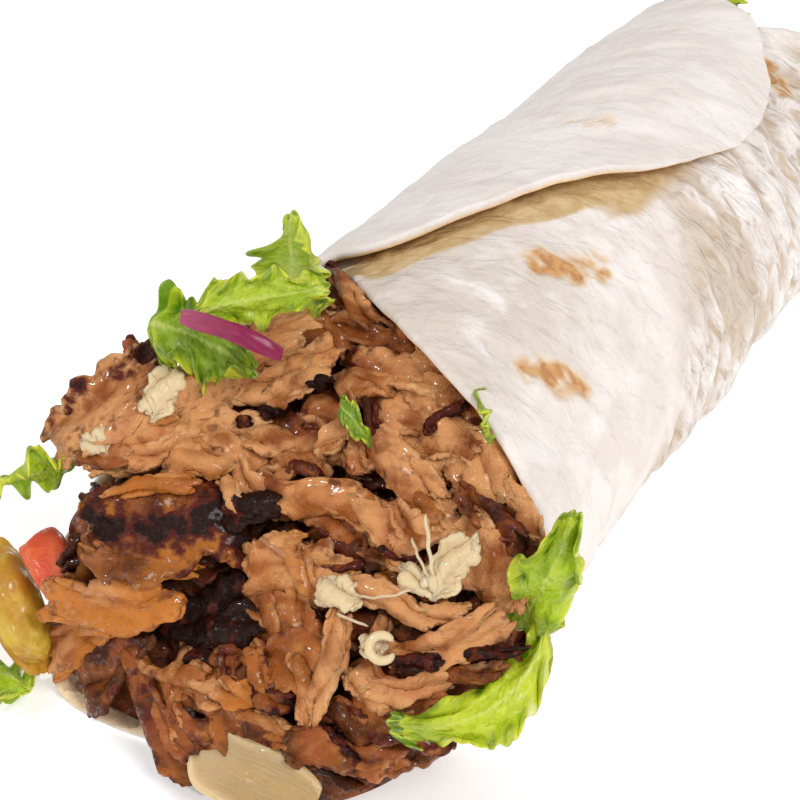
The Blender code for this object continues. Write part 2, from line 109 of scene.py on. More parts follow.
def fractal(u, v, seed, octaves=3):
    """Sum of noises, each twice as fine and half as strong as the one before."""
    return sum(noise(u * 2 ** k, v * 2 ** k, seed + k) / 2 ** k for k in range(octaves))

# %% [markdown]
# ## Closed sheets
# Bread, leaves, onion and meat shavings are all sheets with a thickness.  The
# helper takes the middle surface as a grid of points and a thickness at each
# point.  It pushes one copy up and one down along the surface normal and lets
# both share the border points, so the sheet is closed and its rim is rounded.

# %% A closed sheet from a grid of points
def grid_normals(points):
    """Unit normals of a grid: the cross product of its two directions."""
    n = np.cross(np.gradient(points, axis=0), np.gradient(points, axis=1))
    return n / np.maximum(np.linalg.norm(n, axis=-1, keepdims=True), 1e-12)


def split_grid(index):
    """Two triangles for each cell of a grid of vertex numbers."""
    a, b, c, d = (index[:-1, :-1], index[1:, :-1], index[1:, 1:], index[:-1, 1:])
    return np.concatenate([np.stack([a, b, c], -1).reshape(-1, 3),
                           np.stack([a, c, d], -1).reshape(-1, 3)])


def sheet_parts(points, thickness, soften=0):
    """Vertices, triangles and uv of a closed sheet: middle surface plus and minus
    half the thickness along its normal, with one shared ring of border points.
    Each softening pass averages the normals with their neighbours."""
    rows, columns = points.shape[:2]
    normal = grid_normals(points)
    for _ in range(soften):
        wide = np.pad(normal, ((1, 1), (1, 1), (0, 0)), "edge")
        normal = 2 * normal + wide[:-2, 1:-1] + wide[2:, 1:-1] + wide[1:-1, :-2] + wide[1:-1, 2:]
        normal = normal / np.linalg.norm(normal, axis=-1, keepdims=True)
    half = (normal * np.asarray(thickness)[..., None] / 2)
    top, low = points + half, points - half
    for side in (np.s_[0, :], np.s_[-1, :], np.s_[:, 0], np.s_[:, -1]):
        top[side] = points[side]
    upper = np.arange(rows * columns).reshape(rows, columns)
    lower = upper.copy()
    lower[1:-1, 1:-1] = rows * columns + np.arange((rows - 2) * (columns - 2)).reshape(
        rows - 2, columns - 2)

    s, t = np.meshgrid(np.linspace(0, 1, rows), np.linspace(0, 1, columns), indexing="ij")
    uv = np.stack([s, t], -1)
    vertices = np.concatenate([top.reshape(-1, 3), low[1:-1, 1:-1].reshape(-1, 3)])
    uv = np.concatenate([uv.reshape(-1, 2), uv[1:-1, 1:-1].reshape(-1, 2)])
    faces = np.concatenate([split_grid(upper), split_grid(lower)[:, ::-1]])
    return vertices, faces, uv

# %% A closed body from rings of points
def tube_parts(rings):
    """Vertices, triangles and uv of a closed body given as rings of points; the
    first and the last ring close to their own middle point."""
    count, around = rings.shape[:2]
    vertices = np.concatenate([rings.reshape(-1, 3), rings[:1].mean(1), rings[-1:].mean(1)])
    index = np.arange(count * around).reshape(count, around)
    index = np.concatenate([index, index[:, :1]], 1)
    first, last = count * around, count * around + 1
    caps = [np.stack([np.full(around, first), index[0, :-1], index[0, 1:]], -1),
            np.stack([np.full(around, last), index[-1, 1:], index[-1, :-1]], -1)]
    u, v = np.meshgrid(np.linspace(0, 1, count), np.linspace(0, 1, around), indexing="ij")
    uv = np.concatenate([np.stack([u, v], -1).reshape(-1, 2), [[0, 0.5], [1, 0.5]]])
    return vertices, np.concatenate([split_grid(index)] + caps), uv

# %% One mesh object from its parts
def both_sides(values):
    """A per-point value of the grid, repeated for the sheet's lower points."""
    return np.concatenate([values.reshape(-1), values[1:-1, 1:-1].reshape(-1)])


def make_mesh(name, parts, looks, **attributes):
    """Joins (vertices, triangles, uv) parts into one smooth mesh object, with a
    UV map and float attributes given per vertex; parts count up their indices."""
    shift, faces = 0, []
    for vertices, triangles, _ in parts:
        faces.append(triangles + shift)
        shift += len(vertices)
    vertices = np.concatenate([p[0] for p in parts])
    uv = np.concatenate([p[2] for p in parts])
    faces = np.concatenate(faces)
    mesh = bpy.data.meshes.new(name)
    mesh.vertices.add(len(vertices))
    mesh.vertices.foreach_set("co", vertices.astype(np.float32).ravel())
    mesh.loops.add(faces.size)
    mesh.loops.foreach_set("vertex_index", faces.ravel().astype(np.int32))
    mesh.polygons.add(len(faces))
    mesh.polygons.foreach_set("loop_start", np.arange(0, faces.size, faces.shape[1]))
    mesh.update(calc_edges=True)
    mesh.polygons.foreach_set("use_smooth", np.ones(len(faces), bool))
    mesh.uv_layers.new(name="UVMap").data.foreach_set(
        "uv", uv[faces.ravel()].astype(np.float32).ravel())
    for key, values in attributes.items():
        mesh.attributes.new(key, "FLOAT", "POINT").data.foreach_set(
            "value", values.astype(np.float32))
    mesh.materials.append(looks)
    mesh.validate()
    piece = bpy.data.objects.new(name, mesh)
    bpy.context.scene.collection.objects.link(piece)
    print(name, len(faces), "triangles")
    return piece


def dress(piece, slot, *nodes):
    """The piece rides on the one body and stands for nodes; slot is not used."""
    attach(piece, "root")
    if nodes:
        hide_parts(*nodes)

# %% [markdown]
# ## Shader helpers
# Every finish here is one Principled shader fed by a few noises and by the
# attributes that the meshes carry.  Short helpers keep the node code readable.
# What several finishes share becomes a node group: it gives masks and heights,
# and the shader itself stays in each material.

# %% Short names for shader nodes
class Nodes:
    """A node tree with one short call for each kind of node used here."""

    def __init__(self, tree):
        self.tree = tree

    def put(self, socket, value):
        if isinstance(value, bpy.types.NodeSocket):
            self.tree.links.new(value, socket)
        elif socket.type == "RGBA" and len(value) == 3:
            socket.default_value = (*value, 1.0)
        else:
            socket.default_value = value

    def node(self, kind, inputs=None, **settings):
        made = self.tree.nodes.new(kind)
        for key, value in settings.items():
            setattr(made, key, value)
        for key, value in (inputs or {}).items():
            self.put(made.inputs[key], value)
        return made

    def attribute(self, name):
        return self.node("ShaderNodeAttribute", attribute_name=name).outputs["Fac"]

    def place(self, kind="Object", scale=(1, 1, 1), turn=(0, 0, 0)):
        source = self.node("ShaderNodeTexCoord").outputs[kind]
        return self.node("ShaderNodeMapping", {"Vector": source, "Scale": scale,
                                               "Rotation": turn}).outputs["Vector"]

    def noise(self, vector, scale, detail=3.0, warp=0.0):
        return self.node("ShaderNodeTexNoise", {"Vector": vector, "Scale": scale,
                                                "Detail": detail, "Roughness": 0.55,
                                                "Distortion": warp}).outputs["Fac"]

    def cells(self, vector, scale):
        return self.node("ShaderNodeTexVoronoi",
                         {"Vector": vector, "Scale": scale}).outputs["Distance"]

    def math(self, operation, a, b=0.0):
        return self.node("ShaderNodeMath", {0: a, 1: b}, operation=operation).outputs[0]

    def times(self, a, b):
        return self.math("MULTIPLY", a, b)

    def sum(self, a, share_a, b, share_b):
        """a times its share plus b times its share."""
        return self.math("ADD", self.times(a, share_a), self.times(b, share_b))

    def joined(self, x, y):
        return self.node("ShaderNodeCombineXYZ", {0: x, 1: y}).outputs[0]

    def blend(self, factor, a, b):
        return self.node("ShaderNodeMix", {0: factor, 2: a, 3: b}).outputs[0]

    def step(self, value, low, high, start=0.0, end=1.0):
        return self.node("ShaderNodeMapRange",
                         {"Value": value, "From Min": low, "From Max": high,
                          "To Min": start, "To Max": end},
                         interpolation_type="SMOOTHSTEP").outputs["Result"]

    def mix(self, factor, a, b):
        return self.node("ShaderNodeMix", {0: factor, 6: a, 7: b},
                         data_type="RGBA").outputs[2]

    def tint(self, base, mask, share, colour):
        """The base mixed towards a colour, by a share of it where the mask is 1."""
        return self.mix(self.times(mask, share), base, colour)

    def bump(self, height, strength, distance):
        return self.node("ShaderNodeBump", {"Height": height, "Strength": strength,
                                            "Distance": distance}).outputs["Normal"]

    def group(self, tree, **inputs):
        made = self.node("ShaderNodeGroup", node_tree=tree)
        for key, value in inputs.items():
            self.put(made.inputs[key], value)
        return made.outputs

# %% A material, and an empty node group
class Finish(Nodes):
    """A material under construction: its node tree and its Principled shader."""

    def __init__(self, name, roughness, **fixed):
        self.material = bpy.data.materials.new(name)
        self.material.use_nodes = True
        super().__init__(self.material.node_tree)
        self.shader = self.tree.nodes["Principled BSDF"]
        self.shader.inputs["Roughness"].default_value = roughness
        for key, value in fixed.items():
            self.shader.inputs[key.replace("_", " ")].default_value = value

    def done(self, **sockets):
        for key, value in sockets.items():
            self.put(self.shader.inputs[key.replace("_", " ")], value)
        return self.material


def new_group(name, inputs, outputs):
    """Empty node group with float sockets, except Vector; returns its helper
    and its two ends."""
    tree = bpy.data.node_groups.new(name, "ShaderNodeTree")
    for way, names in (("INPUT", inputs), ("OUTPUT", outputs)):
        for socket in names:
            kind = "NodeSocketVector" if socket == "Vector" else "NodeSocketFloat"
            tree.interface.new_socket(socket, in_out=way, socket_type=kind)
    made = Nodes(tree)
    return made, made.node("NodeGroupInput").outputs, made.node("NodeGroupOutput").inputs

# %% [markdown]
# Two effects are shared.  A mottle is a soft patchy mask of a chosen size.  A wet
# skin is what greasy meat and cut vegetables have: small dents at three sizes,
# and a film of juice that lies in some places and is missing in others.

# %% Shared groups: mottle and wet skin
mottle_nodes, given, gives = new_group("mottle", ("Vector", "Scale", "Low", "High"),
                                       ("Mask",))
mottle_nodes.put(gives["Mask"], mottle_nodes.step(
    mottle_nodes.noise(given["Vector"], given["Scale"], 4.0, 0.4),
    given["Low"], given["High"]))
MOTTLE = mottle_nodes.tree

wet_nodes, given, gives = new_group("wet_skin", ("Vector", "Scale"),
                                    ("Height", "Roughness", "Film"))
small, tiny = wet_nodes.times(given["Scale"], 2.7), wet_nodes.times(given["Scale"], 7.0)
coarse_dents = wet_nodes.noise(given["Vector"], given["Scale"], 3.0)
small_dents = wet_nodes.noise(given["Vector"], small, 3.0, 0.6)
dents = wet_nodes.sum(coarse_dents, 1.0, small_dents, 0.6)
pores = wet_nodes.cells(given["Vector"], tiny)
wet_nodes.put(gives["Height"], wet_nodes.sum(dents, 1.0, pores, 0.6))
film = wet_nodes.step(wet_nodes.noise(given["Vector"], small, 2.0), 0.47, 0.66)
wet_nodes.put(gives["Film"], film)
wet_nodes.put(gives["Roughness"], wet_nodes.step(film, 0.0, 1.0, 0.55, 0.3))
WET_SKIN = wet_nodes.tree
print("groups:", MOTTLE.name, WET_SKIN.name)


def mottle(finish, vector, scale, low=0.4, high=0.65):
    """Soft patchy mask, patches about 1 / scale metres across."""
    return finish.group(MOTTLE, Vector=vector, Scale=scale, Low=low, High=high)["Mask"]

# %% [markdown]
# ## The flatbread
# The bread is a large soft disc, two millimetres thick, rolled once and a third
# round the filling.  Because its edge is round, the unrolled outline is not
# square: the mouth slants and the outer end narrows to a pointed flap.  Its
# middle surface is written in two parameters, the turn of the winding and the
# way along the roll, with the same named sizes as the solid.

# %% The bread's sizes and its two edges
ROLL_RADIUS, ROLL_TAPER = 0.039, 0.02
BREAD, TURN_PITCH, SAG, UNEVEN = 0.002, 0.003, 0.0015, 0.0006
INNER_END, MEASURED_TURN = 175.0, 195.0
FLAP_TURN, LAST_TURN, FLAP_LIFT = 413.0, 483.0, 0.0024
FLARE, FLARE_TURN, FLARE_SPREAD = 0.0185, 322.0, 95.0
FLARE_START, FLARE_LENGTH = 0.014, 0.056
RIGHT_FLARE, RIGHT_TURN, RIGHT_SPREAD = 0.0045, 215.0, 75.0
# the bread's two edges: turn in degrees, y in cm
NEAR_EDGE = [(0, 3.0), (25, 1.2), (40, 0.2), (53, -0.46), (71, -1.45), (85, -2.05),
             (104, -2.69), (130, -3.0), (163, -3.18), (205, -3.6), (235, -4.5),
             (260, -5.7), (280, -6.8), (300, -7.15), (315, -6.95), (330, -6.3),
             (355, -4.8), (375, -3.3), (395, -1.7), (413, -0.55), (424, -0.42),
             (431, 0.0), (438, 1.04), (446, 2.11), (453, 3.31), (461, 4.43),
             (471, 5.61), (477, 6.89), (480, 7.6), (483, 8.3)]
FAR_EDGE = [(0, 11.0), (25, 12.0), (53, 12.5), (71, 13.0), (90, 13.5), (109, 14.45),
            (130, 15.2), (155, 15.8), (195, 16.3), (235, 16.6), (275, 16.6),
            (325, 16.1), (375, 15.1), (413, 14.25), (431, 13.93), (444, 13.64),
            (456, 13.1), (463, 12.5), (473, 11.35), (477, 10.95), (480, 10.3),
            (483, 9.3)]
print("turns:", round(LAST_TURN / 360, 2), "mouth radius (m):", ROLL_RADIUS)


def roll_radius(y):
    """Outer radius: it shrinks evenly towards the tail."""
    return ROLL_RADIUS - ROLL_TAPER * y


def flare(turn, y):
    """Outward opening of the two lips in front of the roll: a cosine hump round
    the turn times a power of the distance in front of y = 0."""
    left = np.cos(np.clip((turn - FLARE_TURN) / FLARE_SPREAD, -1, 1) * math.pi / 2) ** 2
    right = np.cos(np.clip((turn - RIGHT_TURN) / RIGHT_SPREAD, -1, 1) * math.pi / 2) ** 2
    forward = np.clip((-y - FLARE_START) / FLARE_LENGTH, 0.0, 1.2)
    return FLARE * left * forward ** 1.5 + RIGHT_FLARE * right * ease(-y / 0.035)

# %% [markdown]
# Rolled bread wrinkles.  Where the sheet is squeezed, near the tail and on the
# right, close ripples run round the roll; elsewhere long creases slant over it.
# Baking leaves small flat blisters.  All of this is a height added to the radius,
# worked out on the unrolled sheet, so the winding never cuts through itself.

# %% Creases and blisters of the baked sheet
def crimped(turn, y):
    """1 where the sheet is squeezed: on the right and towards the tail."""
    w = y / CM
    start = ease((w - 4.4 + 0.055 * (turn - 123.0)) / 2.2)
    return start * ease((turn - 98.0) / 25.0) * (1 - 0.5 * ease((turn - 195.0) / 30.0))


def layer_relief(turn, y):
    """Height of one layer: a slow wave, long creases that slant over the front and
    ripples that run round the crimped part, and a few blisters."""
    s, w = np.radians(turn) * ROLL_RADIUS / CM, y / CM
    bend = 0.5 * noise(s / 2.2, w / 2.2, 5)
    slant = noise((0.89 * s + 0.46 * w) / 1.6 + bend, (0.89 * w - 0.46 * s) / 0.42, 7)
    ripple = noise(s / 1.6 + bend, (w - 0.25 * s) / 0.38 + bend, 9) \
        + 0.6 * noise(s / 0.9, (w + 0.3 * s) / 0.27, 10)
    crimp = crimped(turn, y)
    return 0.0008 * noise(s / 2.4, w / 3.0, 3) + 0.0005 * slant * (1 - crimp) \
        + 0.0013 * ripple * crimp \
        + 0.0006 * ease((noise(s / 0.55, w / 0.5, 17) - 0.5) / 0.4)


def bread_relief(turn, y):
    """Relief of the sheet: the outer flap follows the layer one full turn below it,
    softened, and adds its own streaks and folds, which end before its rim."""
    s, w = np.radians(turn) * ROLL_RADIUS / CM, y / CM
    over = ease((turn - 360.0) / 35.0)
    streaks = noise(s / 0.5, w / 2.6, 13) + 0.6 * noise(s / 0.28, w / 1.5, 15)
    fold = noise((0.8 * w + 0.5 * s) / 1.3, (w - 0.9 * s) / 0.5, 19)
    tip = ease((w - 4.5) / 2.0) * ease((turn - 420.0) / 20.0)
    outer = np.clip(turn, 0, LAST_TURN)
    rim = 1 / sum(1 / np.maximum(way, 0.05) for way in (
        (LAST_TURN - turn) * 0.06, w - curve(NEAR_EDGE, outer), curve(FAR_EDGE, outer) - w))
    raised = 0.5 * (fold + np.sqrt(fold ** 2 + 0.05))
    own = (0.0002 * streaks + 0.0012 * tip * raised) * ease(rim / 0.6)
    return (1 - over) * layer_relief(turn, y) + over * (
        0.6 * layer_relief(turn - 360.0, y) + 0.0009 * ease((turn - 398.0) / 15.0)
        + 0.0006 * tip + own * ease((turn - 398.0) / 15.0))


def bread_middle(turn, along):
    """Middle of the bread: y runs between the two edges, the radius grows with
    the turn, the flap's lower edge gapes, a slow wave keeps the roll from being
    too even, and the underside is pressed flat."""
    near, far = curve(NEAR_EDGE, turn) * CM, curve(FAR_EDGE, turn) * CM
    y = near + (far - near) * along
    angle = np.radians(INNER_END - turn)
    radius = roll_radius(y) - BREAD / 2 + TURN_PITCH * (turn - MEASURED_TURN) / 360.0
    flap = np.clip((turn - FLAP_TURN) / (LAST_TURN - FLAP_TURN), 0.0, 1.0)
    gape = np.sin(math.pi * np.clip((y - 0.004) / 0.075, 0.0, 1.0)) * flap ** 1.5
    radius = radius + FLAP_LIFT * gape * (1 - ease((y - near) / 0.022))
    radius = radius + UNEVEN * np.sin(y * 95 + angle * 2) * np.sin(angle * 3 + 1) * ease(y / 0.05)
    radius = radius + flare(turn, y)
    rise = roll_radius(y) - SAG
    free = ease((rise + radius * np.sin(angle) - BREAD / 2) / 0.004)
    radius = radius + bread_relief(turn, y) * free
    z = np.maximum(rise + radius * np.sin(angle), BREAD / 2)
    return np.stack([radius * np.cos(angle), y, z], -1)

# %% [markdown]
# Dry spots toast brown where the bread touched the griddle.  On the layer under
# the flap a golden band follows the flap's edge: the bread's own tan there, with
# the painted shadow of the lifted flap over it.  Each is a mask stored on the mesh:
# a sum of soft blobs at a turn and a distance, and a band that follows the flap's
# edge.

# %% Toasted spots and the golden band
SPOT_REACH, GOLD_STOPS, GOLD_FADE = 0.4, 472.0, 9.0
# turn in degrees, y in cm, strength
SPOTS = [(106, 1.2, 1.0), (113, 1.6, 0.9), (118, 2.3, 0.9), (125, -1.25, 0.75),
         (132, -0.8, 0.75), (138, -0.3, 0.6), (443, 5.9, 0.35), (449, 6.2, 0.35),
         (105, 6.8, 0.3), (111, 12.3, 0.9), (117, 11.9, 0.9), (121, 11.8, 0.6),
         (94, 13.6, 0.5), (125, 7.8, 0.45), (160, 5.0, 0.35),
         (230, 3.5, 0.9), (285, 8.0, 1.0), (340, 2.0, 0.9), (375, 9.5, 0.8),
         (395, 4.0, 0.5), (205, 9.5, 0.6), (300, 13.0, 0.8), (262, -1.5, 0.8)]


def toasted(turn, y):
    """1 at a toasted spot's middle, fading outwards: bell curves, broken by noise."""
    s, w = turn * math.radians(1) * ROLL_RADIUS / CM, y / CM
    total = np.zeros_like(s)
    for spot_turn, spot_y, strength in SPOTS:
        ds = s - math.radians(spot_turn) * ROLL_RADIUS / CM
        total += strength * np.exp(-(ds ** 2 + (w - spot_y) ** 2) / SPOT_REACH ** 2)
    return total * (0.8 + 0.6 * fractal(s / 0.26, w / 0.2, 31, 2))


def under_flap(turn, y):
    """Golden band on the layer under the flap, the painted shadow of its lifted edge
    over the bread's own tan: it follows the flap's edge, which lies one full turn
    further out, and fades within a centimetre of it."""
    outer = np.clip(turn + 360.0, FLAP_TURN, LAST_TURN)
    lean = (curve(NEAR_EDGE, outer + 1.0) - curve(NEAR_EDGE, outer - 1.0)) \
        / (math.radians(2.0) * ROLL_RADIUS / CM)
    depth = (y / CM - curve(NEAR_EDGE, outer)) / np.sqrt(1 + lean ** 2)
    begins = ease((turn + 360.0 - FLAP_TURN) / 6.0)
    ends = 1 - ease((turn + 360.0 - GOLD_STOPS) / GOLD_FADE)
    wander = 0.15 * noise(turn / 9.0, y / CM / 0.9, 33)
    band = ease((depth + 0.66 + wander) / 0.14) * begins * ends
    return np.where(turn < 180, band, 0.0) * (1 - ease((y / CM - 8.5) / 1.5))

# %% [markdown]
# The grid is fine on the turns that show and coarse inside.  The sheet thins to a
# rounded hem at its edges, and it is half as thick at the flap's tip.

# %% Mesh of the bread
SHOWS_FROM, SHOWS_TO, FLAP_FROM = 30, 212, 392
TIP_THINS_FROM, TIP_THINS_OVER, TIP_THINS_BY = 462, 12, 0.45
flap_way = np.linspace(0, 1, 84)
turns = np.concatenate([
    np.linspace(0, SHOWS_FROM, 11)[:-1], np.linspace(SHOWS_FROM, SHOWS_TO, 150)[:-1],
    np.linspace(SHOWS_TO, FLAP_FROM, 52)[:-1],
    FLAP_FROM + (LAST_TURN - FLAP_FROM) * (flap_way + np.sin(flap_way * math.pi / 2)) / 2])
hem = np.array([0.0, 0.0016, 0.004, 0.0075])
ways = np.concatenate([hem, np.linspace(0.012, 0.988, 142), 1 - hem[::-1]])
turn_grid, way_grid = np.meshgrid(turns, ways, indexing="ij")
bread_points = bread_middle(turn_grid, way_grid)
fullness = np.minimum(ease(np.minimum(way_grid, 1 - way_grid) / hem[-1] + 0.25),
                      ease(np.minimum(turn_grid, LAST_TURN - turn_grid) / 1.6 + 0.2))
fullness *= 1 - TIP_THINS_BY * ease((turn_grid - TIP_THINS_FROM) / TIP_THINS_OVER)
bread_parts = sheet_parts(bread_points, BREAD * fullness, soften=8)
print("bread grid", turn_grid.shape, "lowest", bread_parts[0][:, 2].min())

# %% [markdown]
# The finish has to know where on the sheet it is, so the mesh carries masks: the
# troughs between creases for painted shade, the crimped part, the calm flap, the
# front edge for painted shade, the toasted places, the golden band under the flap,
# mostly painted shadow, and the inner face.  Two more give the way round the roll
# and along it, in centimetres.

# %% Masks of the bread
bread_y = bread_points[..., 1]
lower_turn = np.where(turn_grid > 360, turn_grid - 360, turn_grid)
bread_masks = {name: both_sides(mask) for name, mask in {
    "trough": ease((0.0004 - bread_relief(turn_grid, bread_y)) / 0.0009),
    "crimp": crimped(lower_turn, bread_y),
    "round": np.radians(turn_grid) * ROLL_RADIUS / CM,
    "along": bread_y / CM,
    "dusky": ease((2.6 - bread_y / CM) / 2.2) * ease((turn_grid - 30) / 30)
    * ease((150 - turn_grid) / 40),
    "calm": ease((turn_grid - 395) / 20),
    "toast": toasted(turn_grid, bread_y),
    "golden": under_flap(turn_grid, bread_y)}.items()}
bread_masks["inner"] = (np.arange(len(bread_parts[0])) >= turn_grid.size) * 1.0
print("bread masks:", ", ".join(bread_masks))

# %% [markdown]
# The bread's finish is floury and almost white, with faint pink-grey patches, a
# golden-tan band under the flap's edge that is mostly painted shadow, and brown at
# the toasted spots.  Painted shade greys the lower front edge and darkens the
# troughs.  Creases finer than the mesh are drawn by noise stretched along the
# sheet: it paints shade into their bottoms and feeds the bump, with fine pits of
# the dry skin.

# %% Finish of the flatbread
crust = Finish("floury_flatbread", 0.62, Subsurface_Weight=0.12, Subsurface_Scale=0.002,
               Subsurface_Radius=(1.0, 0.75, 0.55), Specular_IOR_Level=0.42)
spot = crust.place()
toast, crimp, calm, round_way, along_way = map(
    crust.attribute, ("toast", "crimp", "calm", "round", "along"))
# creases drawn in the sheet's own directions: x follows a crease, y crosses it
slanting = crust.joined(crust.sum(round_way, 1.1, along_way, 0.5),
                        crust.sum(round_way, -0.9, along_way, 1.9))
ringing = crust.joined(crust.sum(round_way, 1.1, along_way, 0.0),
                       crust.sum(round_way, -0.9, along_way, 3.2))
crease = crust.blend(crimp, crust.noise(slanting, 1.0, 2.0, 0.8),
                     crust.noise(ringing, 1.0, 2.5, 1.0))
base = crust.mix(mottle(crust, spot, 60.0, 0.4, 0.62),
                 (0.86, 0.80, 0.765), (0.77, 0.69, 0.645))
# painted shade: the lower front edge of the bread is tinted grey-brown in soft patches
dusky = crust.times(crust.attribute("dusky"), mottle(crust, spot, 95.0, 0.3, 0.55))
base = crust.tint(base, dusky, 0.85, (0.64, 0.55, 0.47))
base = crust.tint(base, calm, 0.45, (0.76, 0.69, 0.655))
# painted shade: the bottoms of the noise creases are tinted darker, browner on the crimped part
deep = crust.times(crust.step(crease, 0.5, 0.32),
                   crust.blend(crimp, mottle(crust, spot, 45.0, 0.35, 0.6), 1.0))
base = crust.tint(base, crust.times(deep, crust.blend(calm, 1.0, 0.35)),
                  crust.blend(crimp, 0.3, 0.85),
                  crust.mix(crimp, (0.66, 0.57, 0.50), (0.54, 0.41, 0.29)))
# painted shade in the troughs of the sheet's relief
base = crust.tint(base, crust.attribute("trough"), crust.blend(crimp, 0.1, 0.75),
                  (0.57, 0.44, 0.32))
base = crust.tint(base, mottle(crust, spot, 420.0, 0.62, 0.78), 0.35, (0.68, 0.57, 0.46))
# painted shadow under the flap's edge, in warm golden tan over the bread's own tan
ochre = crust.mix(mottle(crust, spot, 260.0, 0.35, 0.7), (0.53, 0.35, 0.14), (0.64, 0.46, 0.24))
base = crust.tint(base, crust.attribute("golden"), 0.95, ochre)
# the inner face is cream-orange: its own warmer colour, brightened with a painted warm glow of
# light bounced off the filling
base = crust.tint(base, crust.attribute("inner"), 0.85, (0.95, 0.70, 0.42))
scorched = crust.mix(mottle(crust, spot, 500.0, 0.4, 0.6), (0.46, 0.18, 0.045), (0.60, 0.31, 0.10))
base = crust.tint(base, crust.step(toast, 0.15, 0.5), 0.6, (0.76, 0.50, 0.24))
base = crust.tint(base, crust.step(toast, 0.35, 0.75), 0.9, scorched)
crease_depth = crust.blend(crimp, crust.blend(calm, 1.3, 0.6), crust.blend(calm, 3.2, 0.9))
skin = crust.sum(crease, crease_depth, crust.noise(spot, 300.0, 4.0), 0.8)
skin = crust.math("SUBTRACT", skin, crust.times(crust.step(toast, 0.2, 0.6), 0.5))
flatbread = crust.done(Base_Color=base, Normal=crust.bump(skin, 0.8, 0.0011),
                       Roughness=crust.step(crust.noise(spot, 160.0), 0.3, 0.7, 0.5, 0.72))

tortilla = make_mesh("flatbread", [bread_parts], flatbread, **bread_masks)
dress(tortilla, "flatbread", "tortilla")

# %% [markdown]
# ## The filling
# Doner meat is shaved from a turning cone: thin ragged slices, seared dark on one
# edge, pale and fibrous on the other, shining with fat.  They lie across the
# mouth of the wrap like shingles.  The filling could be sculpted by hand; here
# each slice is a small bent sheet laid on the leaning face of the heap, because
# then its grain, its edge and its searing follow its own length.

# %% The leaning face of the heap, in centimetres
def heap_front(x, z):
    """y of the face at (x, z): a slanting plane, a dome, and a bulge on the left."""
    plane = -4.6 + 0.88 * (z - 3.7)
    dome = 0.9 * np.clip(1 - (x / 4.3) ** 2 - ((z - 3.7) / 3.8) ** 2, 0, 1) ** 0.7
    left = 2.3 * ease((-x - 0.8) / 3.6) * ease((z - 1.6) / 2.4)
    return np.maximum(plane - dome - left, -7.6)


print("the heap's middle stands", round(-heap_front(0.0, 3.7), 2), "cm in front of y = 0")


def tail_front(x, z):
    """y of the filling's face at the far end."""
    dome = 0.5 * np.clip(1 - (x / 3.4) ** 2 - ((z - 3.6) / 3.4) ** 2, 0, 1) ** 0.7
    return 15.0 - 0.44 * (z - 3.6) + dome


def face_frame(front, facing, x, z, yaw, pitch, roll):
    """A point of a face and three axes for a slice lying on it: its length, its
    width and the outward normal, turned by yaw, then pitch, then roll degrees."""
    step = 0.05
    here = np.array([x, front(x, z), z])
    across = np.array([2 * step, front(x + step, z) - front(x - step, z), 0]) * -facing
    up = np.array([0, front(x, z + step) - front(x, z - step), 2 * step])
    normal = np.cross(across, up)
    normal /= np.linalg.norm(normal)
    across -= normal * across.dot(normal)
    across /= np.linalg.norm(across)
    up = np.cross(normal, across)
    cy, sy = math.cos(math.radians(yaw)), math.sin(math.radians(yaw))
    long = across * cy + up * sy
    wide = np.cross(normal, long)
    cp, sp = math.cos(math.radians(pitch)), math.sin(math.radians(pitch))
    wide, normal = wide * cp + normal * sp, normal * cp - wide * sp
    cr, sr = math.cos(math.radians(roll)), math.sin(math.radians(roll))
    return here, long * cr + normal * sr, wide, normal * cr - long * sr

# %% [markdown]
# The filling must stay inside the bread.  A point knows its turn and its y, so
# the layer of bread outside it is known too, and the point is pulled in just
# under it.  In front of the bread's edge nothing holds the filling, so the pull
# fades there and the heap may spill over the lip.

# %% Keeping points inside the winding and above the plate
def hold_inside(points, gap=0.0006):
    """Pull points (metres) under the innermost bread layer at their place."""
    x, y, z = points[..., 0], points[..., 1], points[..., 2]
    centre = roll_radius(y) - SAG
    radius = np.hypot(x, z - centre)
    angle = np.arctan2(z - centre, x)
    turn = (INNER_END - np.degrees(angle)) % 360.0
    limit = np.full_like(radius, 1.0)
    for layer in (turn, turn + 360.0):
        known = np.clip(layer, 0.0, LAST_TURN)
        near, far = curve(NEAR_EDGE, known) * CM, curve(FAR_EDGE, known) * CM
        wall = roll_radius(y) - BREAD + TURN_PITCH * (known - MEASURED_TURN) / 360.0
        wall = wall + flare(known, y) - gap
        outside = np.maximum(near - y, y - far)
        wall = wall + 0.03 * np.clip(outside / 0.006, 0.0, 1.0) ** 1.5
        limit = np.where(layer <= LAST_TURN, np.minimum(limit, wall), limit)
    radius = np.minimum(radius, limit)
    held = np.stack([radius * np.cos(angle), y, centre + radius * np.sin(angle)], -1)
    floor = np.where(np.abs(x) < 0.03, BREAD, 0.0) * (y > -0.055) + 0.0004
    held[..., 2] = np.maximum(held[..., 2], floor)
    return held

# %% [markdown]
# A slice is a bent grid.  Its outline is torn, so each long edge has its own
# noise; its body curls, and ridges of muscle fibre run across it at a slant.
# Searing is stored as a mask that is strongest near the edges.

# %% Burnt spots on a slice
def blobs(a, b, places):
    """Sum of soft spots on a slice, each (a, b, reach along, reach across,
    strength), a and b from -1 to 1 over its length and width."""
    return sum(strength * np.exp(-((a - pa) / ra) ** 2 - ((b - pb) / rb) ** 2)
               for pa, pb, ra, rb, strength in places) if places else 0 * a

